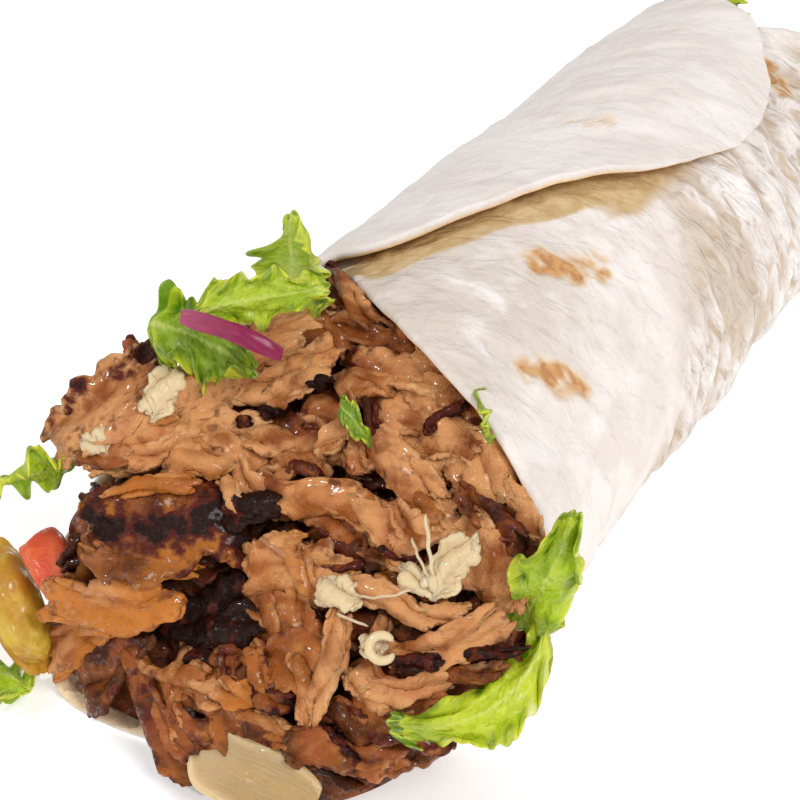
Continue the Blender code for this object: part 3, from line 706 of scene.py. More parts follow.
# %% One slice of meat
def torn_slice(front, facing, spec, thickness, seed, rows=44, columns=26, burns=()):
    """Mesh parts and masks of one slice lying on a face of the filling.  spec is
    x, z, lift, length, width, yaw, pitch, roll, curl, tone, char, golden."""
    x, z, lift, length, width, yaw, pitch, roll, curl, tone, char, golden = spec
    draw = np.random.default_rng(seed)
    phase, slant = draw.uniform(0, 6.28), draw.uniform(-0.9, 0.9)
    a, b = np.meshgrid(np.sin(np.linspace(-1, 1, rows) * 1.4) / math.sin(1.4),
                       np.sin(np.linspace(-1, 1, columns) * 1.4) / math.sin(1.4),
                       indexing="ij")
    side = np.where(b > 0, 5.0, 2.0)
    torn = 1 + 0.28 * fractal(a * 1.9 + 9, side, seed, 3) \
        + 0.13 * noise(a * 8, side, seed + 5) + 0.04 * noise(a * 19, side, seed + 15)
    edge = (0.55 + 0.45 * np.sqrt(np.clip(1 - a ** 4, 0, 1))) * torn
    end = 1 + 0.1 * np.sin(3 * b + phase) + 0.12 * noise(b * 4.3 + 20, a * 0 + 1, seed + 7) \
        + 0.03 * noise(b * 11 + 20, a * 0 + 1, seed + 17)
    u = length / 2 * a * end
    v = width / 2 * b * edge + 0.06 * length * np.sin(2.2 * a + phase)
    fibre = noise(u * 2.2, (v + slant * u) * 9.0, seed + 1)
    grain = 0.018 * fibre + 0.010 * noise(u * 4.0, (v + slant * u) * 20.0, seed + 2)
    lump = 0.075 * noise(u * 1.3 + 7, v * 1.9, seed + 3) \
        + 0.014 * fractal(u * 5, v * 5, seed + 4, 2)
    w = -curl * length * a ** 2 / 4 + 0.07 * np.sin(4 * b + 3 * a + phase) + grain + lump
    rim = np.maximum(np.abs(a), np.abs(b))
    w = w + 0.13 * draw.uniform(-1, 1) * ease((rim - 0.6) / 0.4) * np.sin(4 * a + 2 * b + phase)
    body = thickness * (1 - 0.45 * rim ** 6) * (1 + 0.35 * noise(u * 2.5, v * 3.0, seed + 6))
    here, long, wide, normal = face_frame(front, facing, x, z, yaw, pitch, roll)
    points = here + u[..., None] * long + v[..., None] * wide \
        + (w + lift)[..., None] * normal
    points = hold_inside(points * CM)
    patch = 0.5 + 0.5 * fractal(u * 1.1 + seed, v * 1.4, seed + 8, 3)
    sear = char * ease((patch + 0.45 * ease((rim - 0.55) / 0.45) - 0.62) / 0.32)
    ragged = 0.8 + 0.5 * fractal(u * 4, v * 4, seed + 14, 2)
    sear = sear + blobs(a, b, burns) * ragged
    fat = golden * ease((0.5 + 0.5 * fractal(u * 1.3, v * 1.6, seed + 9, 2)
                         + 0.35 * ease(-b) - 0.3) / 0.4)
    # painted shade: points that lie deep in the heap, below the slice's face, get a darker tone
    sunk = ease((0.08 - w - lift) / 0.45)
    shade = tone + 0.3 * fractal(u * 1.4, (v + slant * u) * 3.2, seed + 11, 3) - 0.5 * sunk
    pale = ease((rim - 0.82) / 0.18) * (0.5 + 0.5 * noise(a * 6, b * 6, seed + 12)) \
        * min(1.0, 0.1 + 1.3 * tone)
    masks = {"tone": shade, "char": sear, "gold": fat, "pale": pale,
             "grain": 0.5 + 14 * grain}
    return sheet_parts(points, body * CM), {k: both_sides(m) for k, m in masks.items()}


def lay_slices(name, front, facing, specs, thickness, first_seed, burnt=None, **size):
    """One mesh object of many slices; burnt gives the burns of some by number."""
    made = [torn_slice(front, facing, spec, thickness, first_seed + 31 * n,
                       burns=(burnt or {}).get(n, ()), **size)
            for n, spec in enumerate(specs)]
    masks = {key: np.concatenate([m[key] for _, m in made]) for key in made[0][1]}
    dress(make_mesh(name, [parts for parts, _ in made], roast_meat, **masks),
          "roast_meat", "meat")

# %% [markdown]
# ### Roast meat finish
# Cooked meat is never one brown.  Tone runs from dark crust to pale inside, fat
# turns golden, seared edges go black, and the thin torn edge lets light through.
# A film of fat gives small sharp highlights, so the coat comes and goes.

# %% Finish of the roast meat
roast = Finish("roast_meat", 0.45, Subsurface_Weight=0.15, Subsurface_Scale=0.002,
               Subsurface_Radius=(1.0, 0.35, 0.15), Coat_Roughness=0.12,
               Coat_IOR=1.45, Specular_IOR_Level=0.16)
spot = roast.place()
# tone also carries the painted shade of the hollows in the heap
tone, char = roast.attribute("tone"), roast.attribute("char")
wander = roast.step(roast.noise(spot, 190.0, 4.0, 0.5), 0.3, 0.7, -0.18, 0.18)
level = roast.math("ADD", tone, wander)
flesh = roast.mix(roast.step(level, 0.0, 0.45), (0.045, 0.008, 0.001), (0.27, 0.073, 0.013))
flesh = roast.mix(roast.step(level, 0.4, 0.95), flesh, (0.65, 0.305, 0.118))
flesh = roast.tint(flesh, roast.attribute("pale"), 0.5, (0.70, 0.42, 0.22))
flesh = roast.tint(flesh, mottle(roast, spot, 110.0, 0.48, 0.66), 0.35, (0.38, 0.085, 0.03))
flesh = roast.tint(flesh, roast.attribute("gold"), 0.85, (0.55, 0.18, 0.022))
furrow = roast.step(roast.attribute("grain"), 0.45, 0.1)
flesh = roast.tint(flesh, furrow, 0.5, (0.12, 0.034, 0.011))
flesh = roast.tint(flesh, mottle(roast, spot, 620.0, 0.6, 0.72), 0.3, (0.06, 0.016, 0.005))
burnt = roast.math("ADD", char, roast.step(roast.noise(spot, 420.0, 4.0), 0.3, 0.7, -0.3, 0.3))
flesh = roast.mix(roast.step(burnt, 0.15, 0.6), flesh, (0.085, 0.010, 0.004))
flesh = roast.mix(roast.step(burnt, 0.6, 1.0), flesh, (0.016, 0.003, 0.001))
wet = roast.group(WET_SKIN, Vector=spot, Scale=380.0)
glaze = roast.times(wet["Film"], roast.step(burnt, 0.3, 1.0, 0.75, 0.3))
grit = roast.times(roast.step(burnt, 0.1, 0.5), roast.noise(spot, 900.0, 2.0))
rough_skin = roast.sum(wet["Height"], 1.0, grit, 1.3)
roast_meat = roast.done(Base_Color=flesh, Roughness=wet["Roughness"], Coat_Weight=glaze,
                        Normal=roast.bump(rough_skin, 0.38, 0.0009))
print("finish:", roast_meat.name, "with", len(roast.tree.nodes), "nodes")

# %% [markdown]
# Behind the slices the filling is a packed core.  It is one closed body: rings
# down the length of the roll, each as wide as the bread lets it, with a rough
# face at both ends.

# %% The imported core
CORE_GAP = 0.0042
MOUTH_CENTRE, TAIL_CENTRE = (-0.6, 3.7), (0.0, 3.5)


def core_wall(y, angle, share=1.0, centre=(0.0, 0.0)):
    """Points (metres) between a centre line at share 0 and the roll's wall at 1."""
    radius = roll_radius(y) - CORE_GAP + 0.9 * flare((INNER_END - np.degrees(angle)) % 360.0, y)
    x = centre[0] * CM * (1 - share) + radius * np.cos(angle) * share
    z = centre[1] * CM * (1 - share) + (roll_radius(y) - SAG + radius * np.sin(angle)) * share
    return np.stack([x, y, z], -1)


def core_ring(share, front, centre, behind, angle):
    """Points of an end face: y is found by a few rounds of placing and reading off."""
    y = front(centre[0], centre[1]) * CM + 0 * angle
    for _ in range(6):
        points = core_wall(y, angle, share, centre)
        y = (front(points[:, 0] / CM, points[:, 2] / CM) + behind) * CM
    return points


core_angle = np.linspace(0, 2 * math.pi, 181)[:-1]
front_rings = [core_ring(s, heap_front, MOUTH_CENTRE, 0.75, core_angle)
               for s in np.linspace(0.04, 0.97, 26)]
tail_rings = [core_ring(s, tail_front, TAIL_CENTRE, -0.3, core_angle)
              for s in np.linspace(0.97, 0.04, 26)]
body_rings = [core_wall(front_rings[-1][:, 1] * (1 - s) + tail_rings[0][:, 1] * s, core_angle, 0.97)
              for s in np.linspace(0, 1, 46)[1:-1]]
core_rings = hold_inside(np.array(front_rings + body_rings + tail_rings), 0.0012)
across, down = core_rings[..., 0] / CM, core_rings[..., 2] / CM
lumps = 0.16 * fractal(across * 1.3, down * 1.3, 90, 3) + 0.06 * noise(across * 6, down * 6, 95)
ends = np.concatenate([np.linspace(1, 0, 26) ** 0.4, np.zeros(44),
                       -np.linspace(0, 1, 26) ** 0.4])[:, None]
core_rings[..., 1] -= lumps * ends * CM
core_rings[..., 2] = np.maximum(core_rings[..., 2], BREAD + 0.0006)
core_parts = tube_parts(core_rings[:, ::-1])
# the core's low tone is the meat's colour deepened into painted shade: it fills the gaps between
# the slices
core_tone = 0.2 + 0.2 * noise(core_parts[0][:, 0] / CM * 2, core_parts[0][:, 2] / CM * 2, 96)
core_masks = {"tone": core_tone, "char": 0.05 + 0 * core_tone, "gold": 0 * core_tone,
              "pale": 0 * core_tone, "grain": 0.5 + 0 * core_tone}
core = make_mesh("meat_core", [core_parts], roast_meat, **core_masks)
dress(core, "roast_meat", "meat")

# %% [markdown]
# The large slices are set one by one, because they make the face of the wrap:
# a burnt one on the left over a golden glazed one, a long tan band across the
# top, dark chocolate ones at the bottom, and a pale strip on end.

# %% The slices that show at the mouth
# x, z, lift, length, width (cm), yaw, pitch, roll (degrees), curl, tone, char, golden
MOUTH_SLICES = [
    (-4.3, 5.8, 0.1, 2.5, 1.3, 62, -10, 0, 0.2, 0.74, 0.25, 0.0),
    (-4.0, 6.2, -0.2, 1.6, 1.0, 70, 0, 0, 0.2, 0.40, 0.6, 0.0),
    (-2.5, 6.1, 0.15, 5.0, 1.0, 24, 12, 0, 0.1, 0.98, 0.15, 0.2),
    (-2.6, 5.4, 0.1, 3.2, 1.1, 5, 0, 0, 0.2, 0.88, 0.15, 0.25),
    (-0.8, 7.3, -0.1, 2.2, 0.8, -5, 10, 0, 0.2, 0.25, 0.6, 0.0),
    (-1.1, 6.8, 0.1, 2.2, 0.8, 30, 15, 0, 0.3, 0.40, 0.4, 0.0),
    (0.4, 6.7, 0.1, 2.3, 1.0, 10, -15, 5, 0.3, 0.90, 0.2, 0.1),
    (1.3, 6.2, 0.1, 2.1, 1.1, -30, 10, 0, 0.3, 0.80, 0.1, 0.1),
    (2.3, 5.9, 0.0, 1.7, 1.1, -40, 0, 0, 0.2, 0.80, 0.1, 0.1),
    (3.3, 5.3, -0.1, 1.7, 0.8, -65, 0, 0, 0.2, 0.45, 0.2, 0.0),
    (-0.7, 5.4, 0.0, 2.9, 1.0, 30, -12, 0, 0.3, 0.65, 0.2, 0.0),
    (-2.3, 4.2, 0.35, 2.9, 1.7, -10, -12, 0, 0.2, 0.14, 0.5, 0.7),
    (-3.05, 3.15, 0.3, 2.5, 1.1, 22, -12, 0, 0.2, 0.62, 0.15, 0.95),
    (0.1, 3.95, 0.2, 2.0, 1.1, 39, 15, 0, 0.3, 0.68, 0.15, 0.3),
    (0.7, 4.8, 0.0, 2.4, 0.7, -10, -10, 0, 0.3, 0.60, 0.2, 0.1),
    # sunk and black all over: painted shade of a hollow between the slices
    (-1.2, 2.95, -0.3, 2.0, 1.5, 60, 0, 0, 0.2, 0.02, 1.5, 0.0),
    (-1.95, 1.3, 0.05, 3.0, 0.9, -20, 10, 0, 0.2, 0.16, 0.3, 0.35),
    (-3.1, 1.4, 0.1, 2.4, 1.0, 65, 0, 0, 0.2, 0.04, 0.3, 0.05),
    (-1.5, 1.9, 0.15, 1.4, 0.8, 20, 20, 0, 0.3, 0.60, 0.2, 0.3),
    (0.3, 2.8, 0.0, 2.3, 1.5, 0, -10, 0, 0.3, 0.40, 0.5, 0.4),
    (1.3, 2.9, 0.35, 2.0, 0.5, -88, 0, 0, 0.2, 0.85, 0.0, 0.1),
    (3.1, 3.7, 0.2, 2.3, 0.7, 30, 10, 0, 0.2, 0.90, 0.1, 0.1),
    (2.6, 2.6, 0.0, 2.0, 1.2, 0, -10, 0, 0.3, 0.35, 0.5, 0.2),
    (2.5, 2.0, -0.1, 2.0, 0.8, 15, 0, 0, 0.2, 0.40, 0.3, 0.1),
    (3.2, 4.7, 0.1, 1.8, 1.0, -60, 12, 0, 0.3, 0.75, 0.1, 0.1),
    (1.9, 5.0, 0.15, 1.7, 0.9, 20, -12, 0, 0.3, 0.70, 0.2, 0.1),
    (-0.3, 1.9, 0.1, 2.0, 1.1, -35, 12, 0, 0.3, 0.33, 0.5, 0.4),
    (-1.1, 4.6, 0.05, 1.9, 0.8, 15, 15, 0, 0.2, 0.70, 0.2, 0.2),
    (1.3, 5.6, 0.2, 2.0, 0.7, -15, 10, 0, 0.3, 0.80, 0.1, 0.1),
    (1.4, 6.6, 0.0, 2.0, 0.7, -35, 0, 0, 0.2, 0.40, 0.4, 0.1),
    (-1.7, 6.8, 0.1, 1.6, 1.0, 10, 0, 0, 0.3, 0.70, 0.3, 0.1),
    (1.6, 1.8, 0.2, 1.3, 0.7, 10, 15, 0, 0.3, 0.30, 0.8, 0.1),
    (-1.2, 1.25, 0.0, 1.8, 0.8, -10, 0, 0, 0.2, 0.30, 0.3, 0.3),
    (0.6, 1.6, -0.2, 2.4, 0.7, 15, 0, 0, 0.1, 0.35, 0.3, 0.3),
    (3.6, 3.4, -0.2, 1.5, 0.8, 27, 0, 0, 0.2, 0.40, 0.2, 0.1),
    (-3.4, 5.6, -0.3, 1.6, 1.0, 40, 0, 0, 0.2, 0.60, 0.4, 0.0),
    (-3.2, 4.3, -0.5, 1.4, 1.1, 80, 0, 0, 0.2, 0.50, 0.5, 0.2),
    (-3.2, 3.5, -0.4, 1.6, 1.1, 45, 0, 0, 0.2, 0.60, 0.3, 0.5),
    (-3.8, 1.8, 0.3, 2.7, 1.0, 62, 5, 0, 0.2, 0.60, 0.1, 0.95),
]
TAIL_SLICES = [
    (-1.6, 5.2, 0.0, 2.6, 1.5, 20, 10, 0, 0.3, 0.70, 0.2, 0.1),
    (0.9, 5.4, 0.1, 2.4, 1.3, -30, -10, 0, 0.3, 0.50, 0.4, 0.1),
    (2.2, 3.9, 0.0, 2.4, 1.6, 70, 10, 0, 0.2, 0.80, 0.2, 0.1),
    (-0.3, 3.9, 0.2, 3.0, 1.5, 10, -12, 0, 0.3, 0.40, 0.8, 0.3),
    (-2.4, 3.3, 0.0, 2.2, 1.4, 100, 0, 0, 0.2, 0.60, 0.3, 0.2),
    (0.9, 2.4, 0.1, 2.6, 1.4, -15, 12, 0, 0.3, 0.70, 0.2, 0.3),
    (-1.2, 1.9, 0.0, 2.2, 1.3, 30, -10, 0, 0.2, 0.45, 0.5, 0.1),
]
# soft burnt spots by slice number: along, across, reach along and across, strength
BURNS = {
    0: [(-0.2, 0.75, 0.5, 0.2, 0.6), (0.6, 0.3, 0.2, 0.35, 0.55), (-0.6, -0.4, 0.25, 0.2, 0.5)],
    11: [(-0.82, 0.15, 0.22, 0.5, 1.4), (0.45, 0.1, 0.34, 0.45, 1.0),
         (-0.15, 0.0, 0.65, 0.45, 0.8), (0.95, 0.1, 0.3, 0.7, 1.5)],
    # slice 15 is black all over as painted shade of the hollow it lies in
    15: [(0, 0, 2, 2, 1.4)],
    19: [(0.1, -0.5, 0.2, 0.25, 1.2)],
}
lay_slices("meat_slices", heap_front, -1, MOUTH_SLICES, 0.18, 300, BURNS)
lay_slices("tail_slices", tail_front, 1, TAIL_SLICES, 0.3, 900)

# %% [markdown]
# Smaller pieces lie on and between the large ones.  They are set one by one too:
# crumbled tan ones in the middle, smooth pale ones under the right rim, golden
# ones round the burnt slice, black ends that fell off the seared crust, and one
# black piece that stands for the shade of a hollow.

# %% Smaller pieces set one by one
SMALL_SLICES = [
    (-0.2, 7.0, 0.05, 1.8, 0.5, -9, -15, 5, 0.3, 0.40, 0.2, 0.1),
    (-1.1, 6.6, 0.2, 1.2, 0.5, 54, 10, 0, 0.2, 0.70, 0.1, 0.3),
    (1.0, 6.9, 0.1, 1.0, 0.5, -33, 10, 0, 0.2, 0.70, 0.1, 0.0),
    (0.2, 6.4, 0.25, 0.9, 0.4, 6, -10, 5, 0.3, 0.65, 0.1, 0.4),
    (1.4, 6.5, 0.1, 1.3, 0.8, -33, 5, 0, 0.2, 0.75, 0.0, 0.0),
    (1.0, 6.1, 0.12, 1.1, 0.6, 27, -15, 0, 0.3, 0.72, 0.1, 0.0),
    (1.9, 6.0, 0.1, 1.2, 0.7, 27, -10, 0, 0.3, 0.66, 0.1, 0.0),
    (2.7, 5.9, 0.05, 1.4, 0.9, -42, 0, 0, 0.2, 0.92, 0.0, 0.0),
    (3.4, 5.5, 0, 1.3, 0.5, -57, 0, 0, 0.1, 0.85, 0.0, 0.0),
    (1.5, 5.6, 0.15, 1.1, 0.6, 24, -10, 6, 0.3, 0.72, 0.1, 0.1),
    (1.9, 5.2, 0.2, 0.8, 0.4, -6, -10, 0, 0.3, 0.68, 0.1, 0.2),
    (-1.3, 5.4, 0.15, 1.2, 0.5, -9, -10, 5, 0.3, 0.80, 0.1, 0.1),
    (-0.5, 5.2, 0.2, 1.1, 0.5, 24, -15, 0, 0.3, 0.60, 0.2, 0.1),
    (-0.1, 5.7, 0.35, 0.8, 0.4, 54, 10, 10, 0.6, 0.95, 0.0, 0.1),
    (0.4, 5.6, 0.25, 0.8, 0.4, -39, 0, 10, 0.6, 0.50, 0.3, 0.1),
    (-1.3, 4.9, 0.3, 1.0, 0.4, -36, 15, 0, 0.3, 0.95, 0.0, 0.2),
    (-1.5, 4.7, 0.35, 0.7, 0.3, -48, 10, 0, 0.3, 0.95, 0.0, 0.2),
    (-0.1, 4.9, 0.3, 2.8, 0.7, 0, 12, 0, 0.2, 0.66, 0.2, 0.3),
    (1.1, 4.9, 0.3, 1.6, 0.6, -15, 8, 0, 0.2, 0.75, 0.1, 0.1),
    (1.8, 5.0, 0.25, 0.8, 0.6, -27, 10, 0, 0.3, 0.90, 0.0, 0.0),
    (-0.5, 4.1, 0.2, 1.2, 0.6, 30, 15, 0, 0.4, 0.85, 0.0, 0.6),
    (0.2, 4.0, 0.2, 1.4, 0.5, -27, 10, 0, 0.3, 0.80, 0.0, 0.5),
    (0.7, 4.4, 0.08, 1.2, 0.6, 9, 0, 0, 0.2, 0.08, 0.6, 0.0),
    (0.6, 3.9, 0, 0.9, 0.4, -42, -15, 0, 0.3, 0.15, 0.8, 0.0),
    (0.1, 3.3, 0.15, 1.3, 0.7, -15, -10, 0, 0.3, 0.50, 0.2, 0.2),
    (0.5, 3.4, 0.25, 1.2, 0.7, -27, -8, 0, 0.3, 0.62, 0.1, 0.2),
    # black: painted shade in the same hollow as slice 15
    (-0.65, 2.95, 0.1, 1.1, 0.7, 50, 0, 0, 0.2, 0.02, 1.6, 0.0),
    (-1.0, 2.3, -0.05, 1.1, 0.6, 30, 10, 0, 0.3, 0.04, 1.4, 0.0),
    (-0.7, 2.5, 0.05, 0.7, 0.4, 48, 10, 0, 0.4, 0.35, 0.3, 0.0),
    (0.6, 2.8, 0.3, 1.4, 1.1, 27, -8, 0, 0.3, 0.48, 0.2, 0.3),
    (-0.0, 2.2, 0.3, 1.1, 0.5, 3, 10, 0, 0.4, 0.50, 0.1, 0.8),
    (0.6, 2.3, 0.4, 0.8, 0.5, 18, 5, 0, 0.3, 0.20, 0.9, 0.2),
    (1.1, 2.6, 0.35, 1.2, 0.3, -57, 15, 0, 0.2, 0.60, 0.1, 0.2),
    (-0.6, 2.0, 0.25, 0.9, 0.5, 6, 15, 0, 0.4, 0.62, 0.0, 0.1),
    (-1.0, 1.9, 0.1, 1.0, 0.4, -21, 0, 0, 0.3, 0.45, 0.2, 0.1),
    (0.6, 1.9, 0.2, 1.4, 0.3, 9, 20, 0, 0.2, 0.62, 0.1, 0.3),
    (-1.5, 1.5, 0.12, 1.2, 0.4, -39, 10, 0, 0.3, 0.55, 0.1, 0.2),
    (2.2, 2.8, 0.1, 1.2, 0.6, -15, -10, 0, 0.3, 0.75, 0.2, 0.0),
    (2.7, 3.0, 0.15, 1.5, 0.5, 27, 10, 0, 0.2, 0.92, 0.0, 0.0),
    (1.9, 2.3, 0.1, 1.0, 0.5, -3, 0, 0, 0.3, 0.25, 0.6, 0.1),
    (2.2, 1.9, 0, 1.8, 0.6, 6, -10, 0, 0.2, 0.42, 0.3, 0.2),
    (2.8, 2.2, 0.05, 1.2, 0.5, 54, 0, 0, 0.2, 0.48, 0.2, 0.1),
    (1.6, 1.9, 0.1, 0.7, 0.4, 18, 0, 0, 0.3, 0.12, 1.2, 0.0),
    (1.1, 1.8, 0.1, 1.1, 0.3, 15, 10, 0, 0.2, 0.40, 0.2, 0.5),
    (1.9, 4.0, 0.32, 1.6, 0.5, 0, 12, 0, 0.2, 0.92, 0.0, 0.1),
    (2.8, 4.0, 0.25, 1.0, 0.4, 6, 10, 0, 0.2, 0.95, 0.0, 0.1),
    (3.1, 4.8, -0.05, 1.3, 0.9, -90, 0, 0, 0.2, 0.92, 0.0, 0.0),
    (2.6, 4.9, 0.25, 0.9, 0.2, -48, 0, 0, 0.3, 0.95, 0.0, 0.0),
    (2.1, 4.5, 0.1, 0.9, 0.5, -15, -10, 0, 0.3, 0.85, 0.0, 0.2),
    (3.9, 3.6, 0.25, 1.1, 0.2, 21, 0, 8, 0.2, 0.20, 1.0, 0.0),
    (3.6, 3.3, 0.1, 1.3, 0.3, 24, 10, 0, 0.2, 0.45, 0.3, 0.0),
    (-0.85, 6.25, 0.28, 0.5, 0.26, 0, 0, 0, 0.3, 0.05, 1.6, 0.0),
    (-1.45, 5.8, 0.24, 0.5, 0.15, 12, 0, 0, 0.3, 0.05, 1.6, 0.0),
    (-1.85, 5.65, 0.22, 0.25, 0.12, 9, 0, 0, 0.3, 0.08, 1.4, 0.0),
    (-1.2, 6.15, 0.3, 1.3, 0.45, 28, 8, 0, 0.2, 0.80, 0.1, 0.1),
    (-3.3, 2.3, 0.38, 1.5, 0.5, 40, 8, 0, 0.2, 0.70, 0.1, 1.0),
    (0.2, 2.6, 0.42, 0.9, 0.5, -20, 10, 0, 0.3, 0.30, 0.4, 0.5),
    (-1.7, 6.25, 0.25, 1.5, 0.7, 20, 8, 0, 0.2, 0.85, 0.1, 0.1),
    (0.4, 7.1, 0.1, 1.0, 0.4, -30, 10, 0, 0.3, 0.30, 0.4, 0.0),
    (-0.9, 7.3, 0.15, 1.7, 0.4, -21, 10, 0, 0.2, 0.45, 0.2, 0.1),
    (-1.1, 6.9, 0.2, 1.2, 0.4, -45, 10, 0, 0.3, 0.35, 0.3, 0.1),
    (-2.9, 4.9, 0.45, 1.6, 0.3, 6, 15, 0, 0.2, 0.50, 0.1, 0.8),
    (-2.6, 3.75, 0.3, 1.9, 0.3, -15, -5, 0, 0.2, 0.50, 0.1, 1.0),
    (-2.3, 5.1, 0.25, 1.2, 0.6, 6, -10, 0, 0.3, 0.75, 0.2, 0.4),
    (-2.9, 5.4, 0.28, 1.5, 0.5, 18, 10, 0, 0.2, 0.80, 0.1, 0.3),
    (-3.7, 5.2, 0.2, 1.3, 0.4, 24, 10, 0, 0.2, 0.60, 0.3, 0.1),
    (-1.1, 4.5, 0.4, 1.1, 0.6, 21, 0, 0, 0.3, 0.10, 1.6, 0.0),
    (1.9, 4.6, 0.34, 0.8, 0.3, -15, 0, 0, 0.2, 0.10, 0.7, 0.0),
    (3.0, 5.3, 0.2, 1.3, 0.5, -30, 0, 0, 0.2, 0.14, 0.3, 0.0),
    (2.8, 3.3, 0.32, 0.8, 0.3, 9, 0, 0, 0.2, 0.05, 0.9, 0.0),
    (1.7, 6.3, 0.3, 0.9, 0.2, 45, 0, 0, 0.2, 0.08, 0.7, 0.0),
    (-0.3, 5.2, 0.42, 0.6, 0.2, 15, 0, 0, 0.2, 0.10, 0.6, 0.0),
    (0.4, 6.1, 0.3, 0.8, 0.3, -39, 0, 0, 0.3, 0.15, 0.6, 0.0),
    (-3.3, 5.7, 0.3, 1.2, 0.3, 33, 8, 0, 0.2, 0.85, 0.0, 0.5),
]
ALL_OVER = [(0, 0, 2, 2, 1.4)]
BURNT_THROUGH = 1.1
burnt_ends = {n: ALL_OVER for n, (*_, char, golden) in enumerate(SMALL_SLICES)
              if char > BURNT_THROUGH}
lay_slices("meat_pieces", heap_front, -1, SMALL_SLICES, 0.13, 1300, burnt_ends,
           rows=34, columns=20)

# %% [markdown]
# Between the large slices lie dozens of smaller shreds.  They are scattered with
# a seeded draw over both faces, on a jittered grid so that none of the face stays
# bare, and sunk a little wherever a large slice should stay in view; there they are
# also painted darker, as shade under the large slices.

# %% Shreds between the slices
# ellipses over the large slices: x, z and the two half widths, cm
KEEP_CLEAR = [(-2.3, 4.2, 1.6, 1.0), (-2.8, 3.0, 1.8, 1.0), (-2.6, 1.1, 1.8, 0.8),
              (-1.1, 2.9, 1.0, 1.2), (-2.6, 6.3, 2.2, 0.6), (0.6, 0.9, 2.2, 0.8)]


def scatter_shreds(centre, reach, spacing, seed, lifts, clear=()):
    """Slice specs on a jittered grid inside an ellipse, cm and degrees."""
    draw = np.random.default_rng(seed)
    xs, zs = np.meshgrid(np.arange(-reach[0], reach[0], spacing),
                         np.arange(-reach[1], reach[1], spacing * 0.8))
    xs, zs = xs.ravel(), zs.ravel()
    xs = xs + draw.uniform(-0.5, 0.5, xs.size) * spacing
    zs = zs + draw.uniform(-0.5, 0.5, zs.size) * spacing
    inside_face = (xs / reach[0]) ** 2 + (zs / reach[1]) ** 2 < 1
    xs, zs = xs[inside_face] + centre[0], zs[inside_face] + centre[1]
    specs = []
    for x, z in zip(xs, zs):
        covered = any(((x - cx) / rx) ** 2 + ((z - cz) / rz) ** 2 < 1
                      for cx, cz, rx, rz in clear)
        # a covered shred is painted darker: shade under the large slices and in the hollows
        specs.append((x, z, draw.uniform(*lifts) - 0.4 * covered,
                      draw.uniform(0.7, 1.5), draw.uniform(0.3, 0.7),
                      draw.normal(10, 45), draw.uniform(-30, 30), draw.uniform(-18, 18),
                      draw.uniform(0.1, 0.45), draw.uniform(0.1, 0.7) * (1 - 0.8 * covered),
                      draw.uniform(0, 0.7) * (draw.random() < 0.5),
                      draw.uniform(0, 0.5) * (draw.random() < 0.3)))
    return specs


mouth_shreds = scatter_shreds((-0.3, 3.9), (3.5, 3.1), 0.62, 12, (-0.45, 0.02), KEEP_CLEAR)
tail_shreds = scatter_shreds((0.0, 3.6), (2.6, 2.7), 0.85, 13, (-0.1, 0.3))
print("shreds:", len(mouth_shreds), len(tail_shreds))
lay_slices("meat_shreds", heap_front, -1, mouth_shreds, 0.14, 2000, rows=22, columns=13)
lay_slices("tail_shreds", tail_front, 1, tail_shreds, 0.2, 6000, rows=22, columns=13)

# %% [markdown]
# ## Salad leaves
# Frilly lettuce is a thin sheet whose margin grew faster than its middle, so it
# has to wave.  Each leaf follows a spine of three points.  The margin is lobed by
# noise and lifted in waves that get quicker and higher towards it.

# %% One leaf
LEAF = 0.0005
# spine of three points, side (cm), width, ruffle, cup (cm), phase of the frills
LEAVES = {
    "lettuce_top": (((-1.8, -2.1, 6.9), (-2.2, -1.9, 7.6), (-2.2, -1.6, 8.5)),
                    (1, -0.3, 0.3), 1.9, 0.16, 0.1, 0.4),
    "lettuce_left": (((-3.7, -4.0, 7.2), (-2.8, -3.9, 7.3), (-1.8, -3.8, 6.8)),
                     (0.3, -0.7, -0.6), 1.4, 0.27, -0.1, 1.2),
    "lettuce_far_left": (((-4.7, -5.3, 4.6), (-5.1, -5.9, 4.7), (-5.8, -7.1, 4.6)),
                         (0.4, -0.4, 0.9), 1.2, 0.16, 0.1, 2.2),
    "lettuce_low_left": (((-4.75, -7.5, 0.55), (-5.3, -7.5, 0.65), (-6.05, -7.6, 0.65)),
                         (0.15, -0.85, 0.3), 1.1, 0.15, 0.1, 3.1),
    "lettuce_right": (((4.0, -4.3, 3.7), (4.5, -4.3, 4.8), (4.7, -3.8, 6.1)),
                      (0.9, 0.1, -0.3), 1.05, 0.24, 0.1, 0.9),
    "lettuce_low_right": (((4.5, -4.2, 3.9), (4.9, -5.7, 2.7), (2.9, -6.6, 2.75)),
                          (0.5, -0.6, -0.5), 1.15, 0.27, 0.1, 2.7),
    "lettuce_rim": (((2.25, -2.8, 7.1), (2.5, -3.0, 7.0), (2.7, -3.15, 6.5)),
                    (0.5, -0.8, 0.2), 0.6, 0.06, 0.05, 0.2),
    "lettuce_bit": (((0.0, -3.6, 6.5), (0.35, -3.75, 6.45), (0.7, -3.8, 6.1)),
                    (0.3, -0.6, -0.6), 0.5, 0.05, 0.05, 1.9),
    "lettuce_tail": (((-1.2, 14.2, 6.1), (-1.0, 14.9, 6.9), (-0.9, 15.2, 7.5)),
                     (1, 0.1, 0.1), 1.9, 0.14, 0.1, 0.7),
}
LOW_LOBES = {
    "lettuce_top": (((-2.5, -4.2, 8.0), (-1.6, -3.6, 8.3), (-0.8, -2.8, 8.2)),
                    (0.0, 0.3, 0.9), 0.9, 0.16, 0.1, 2.0),
}


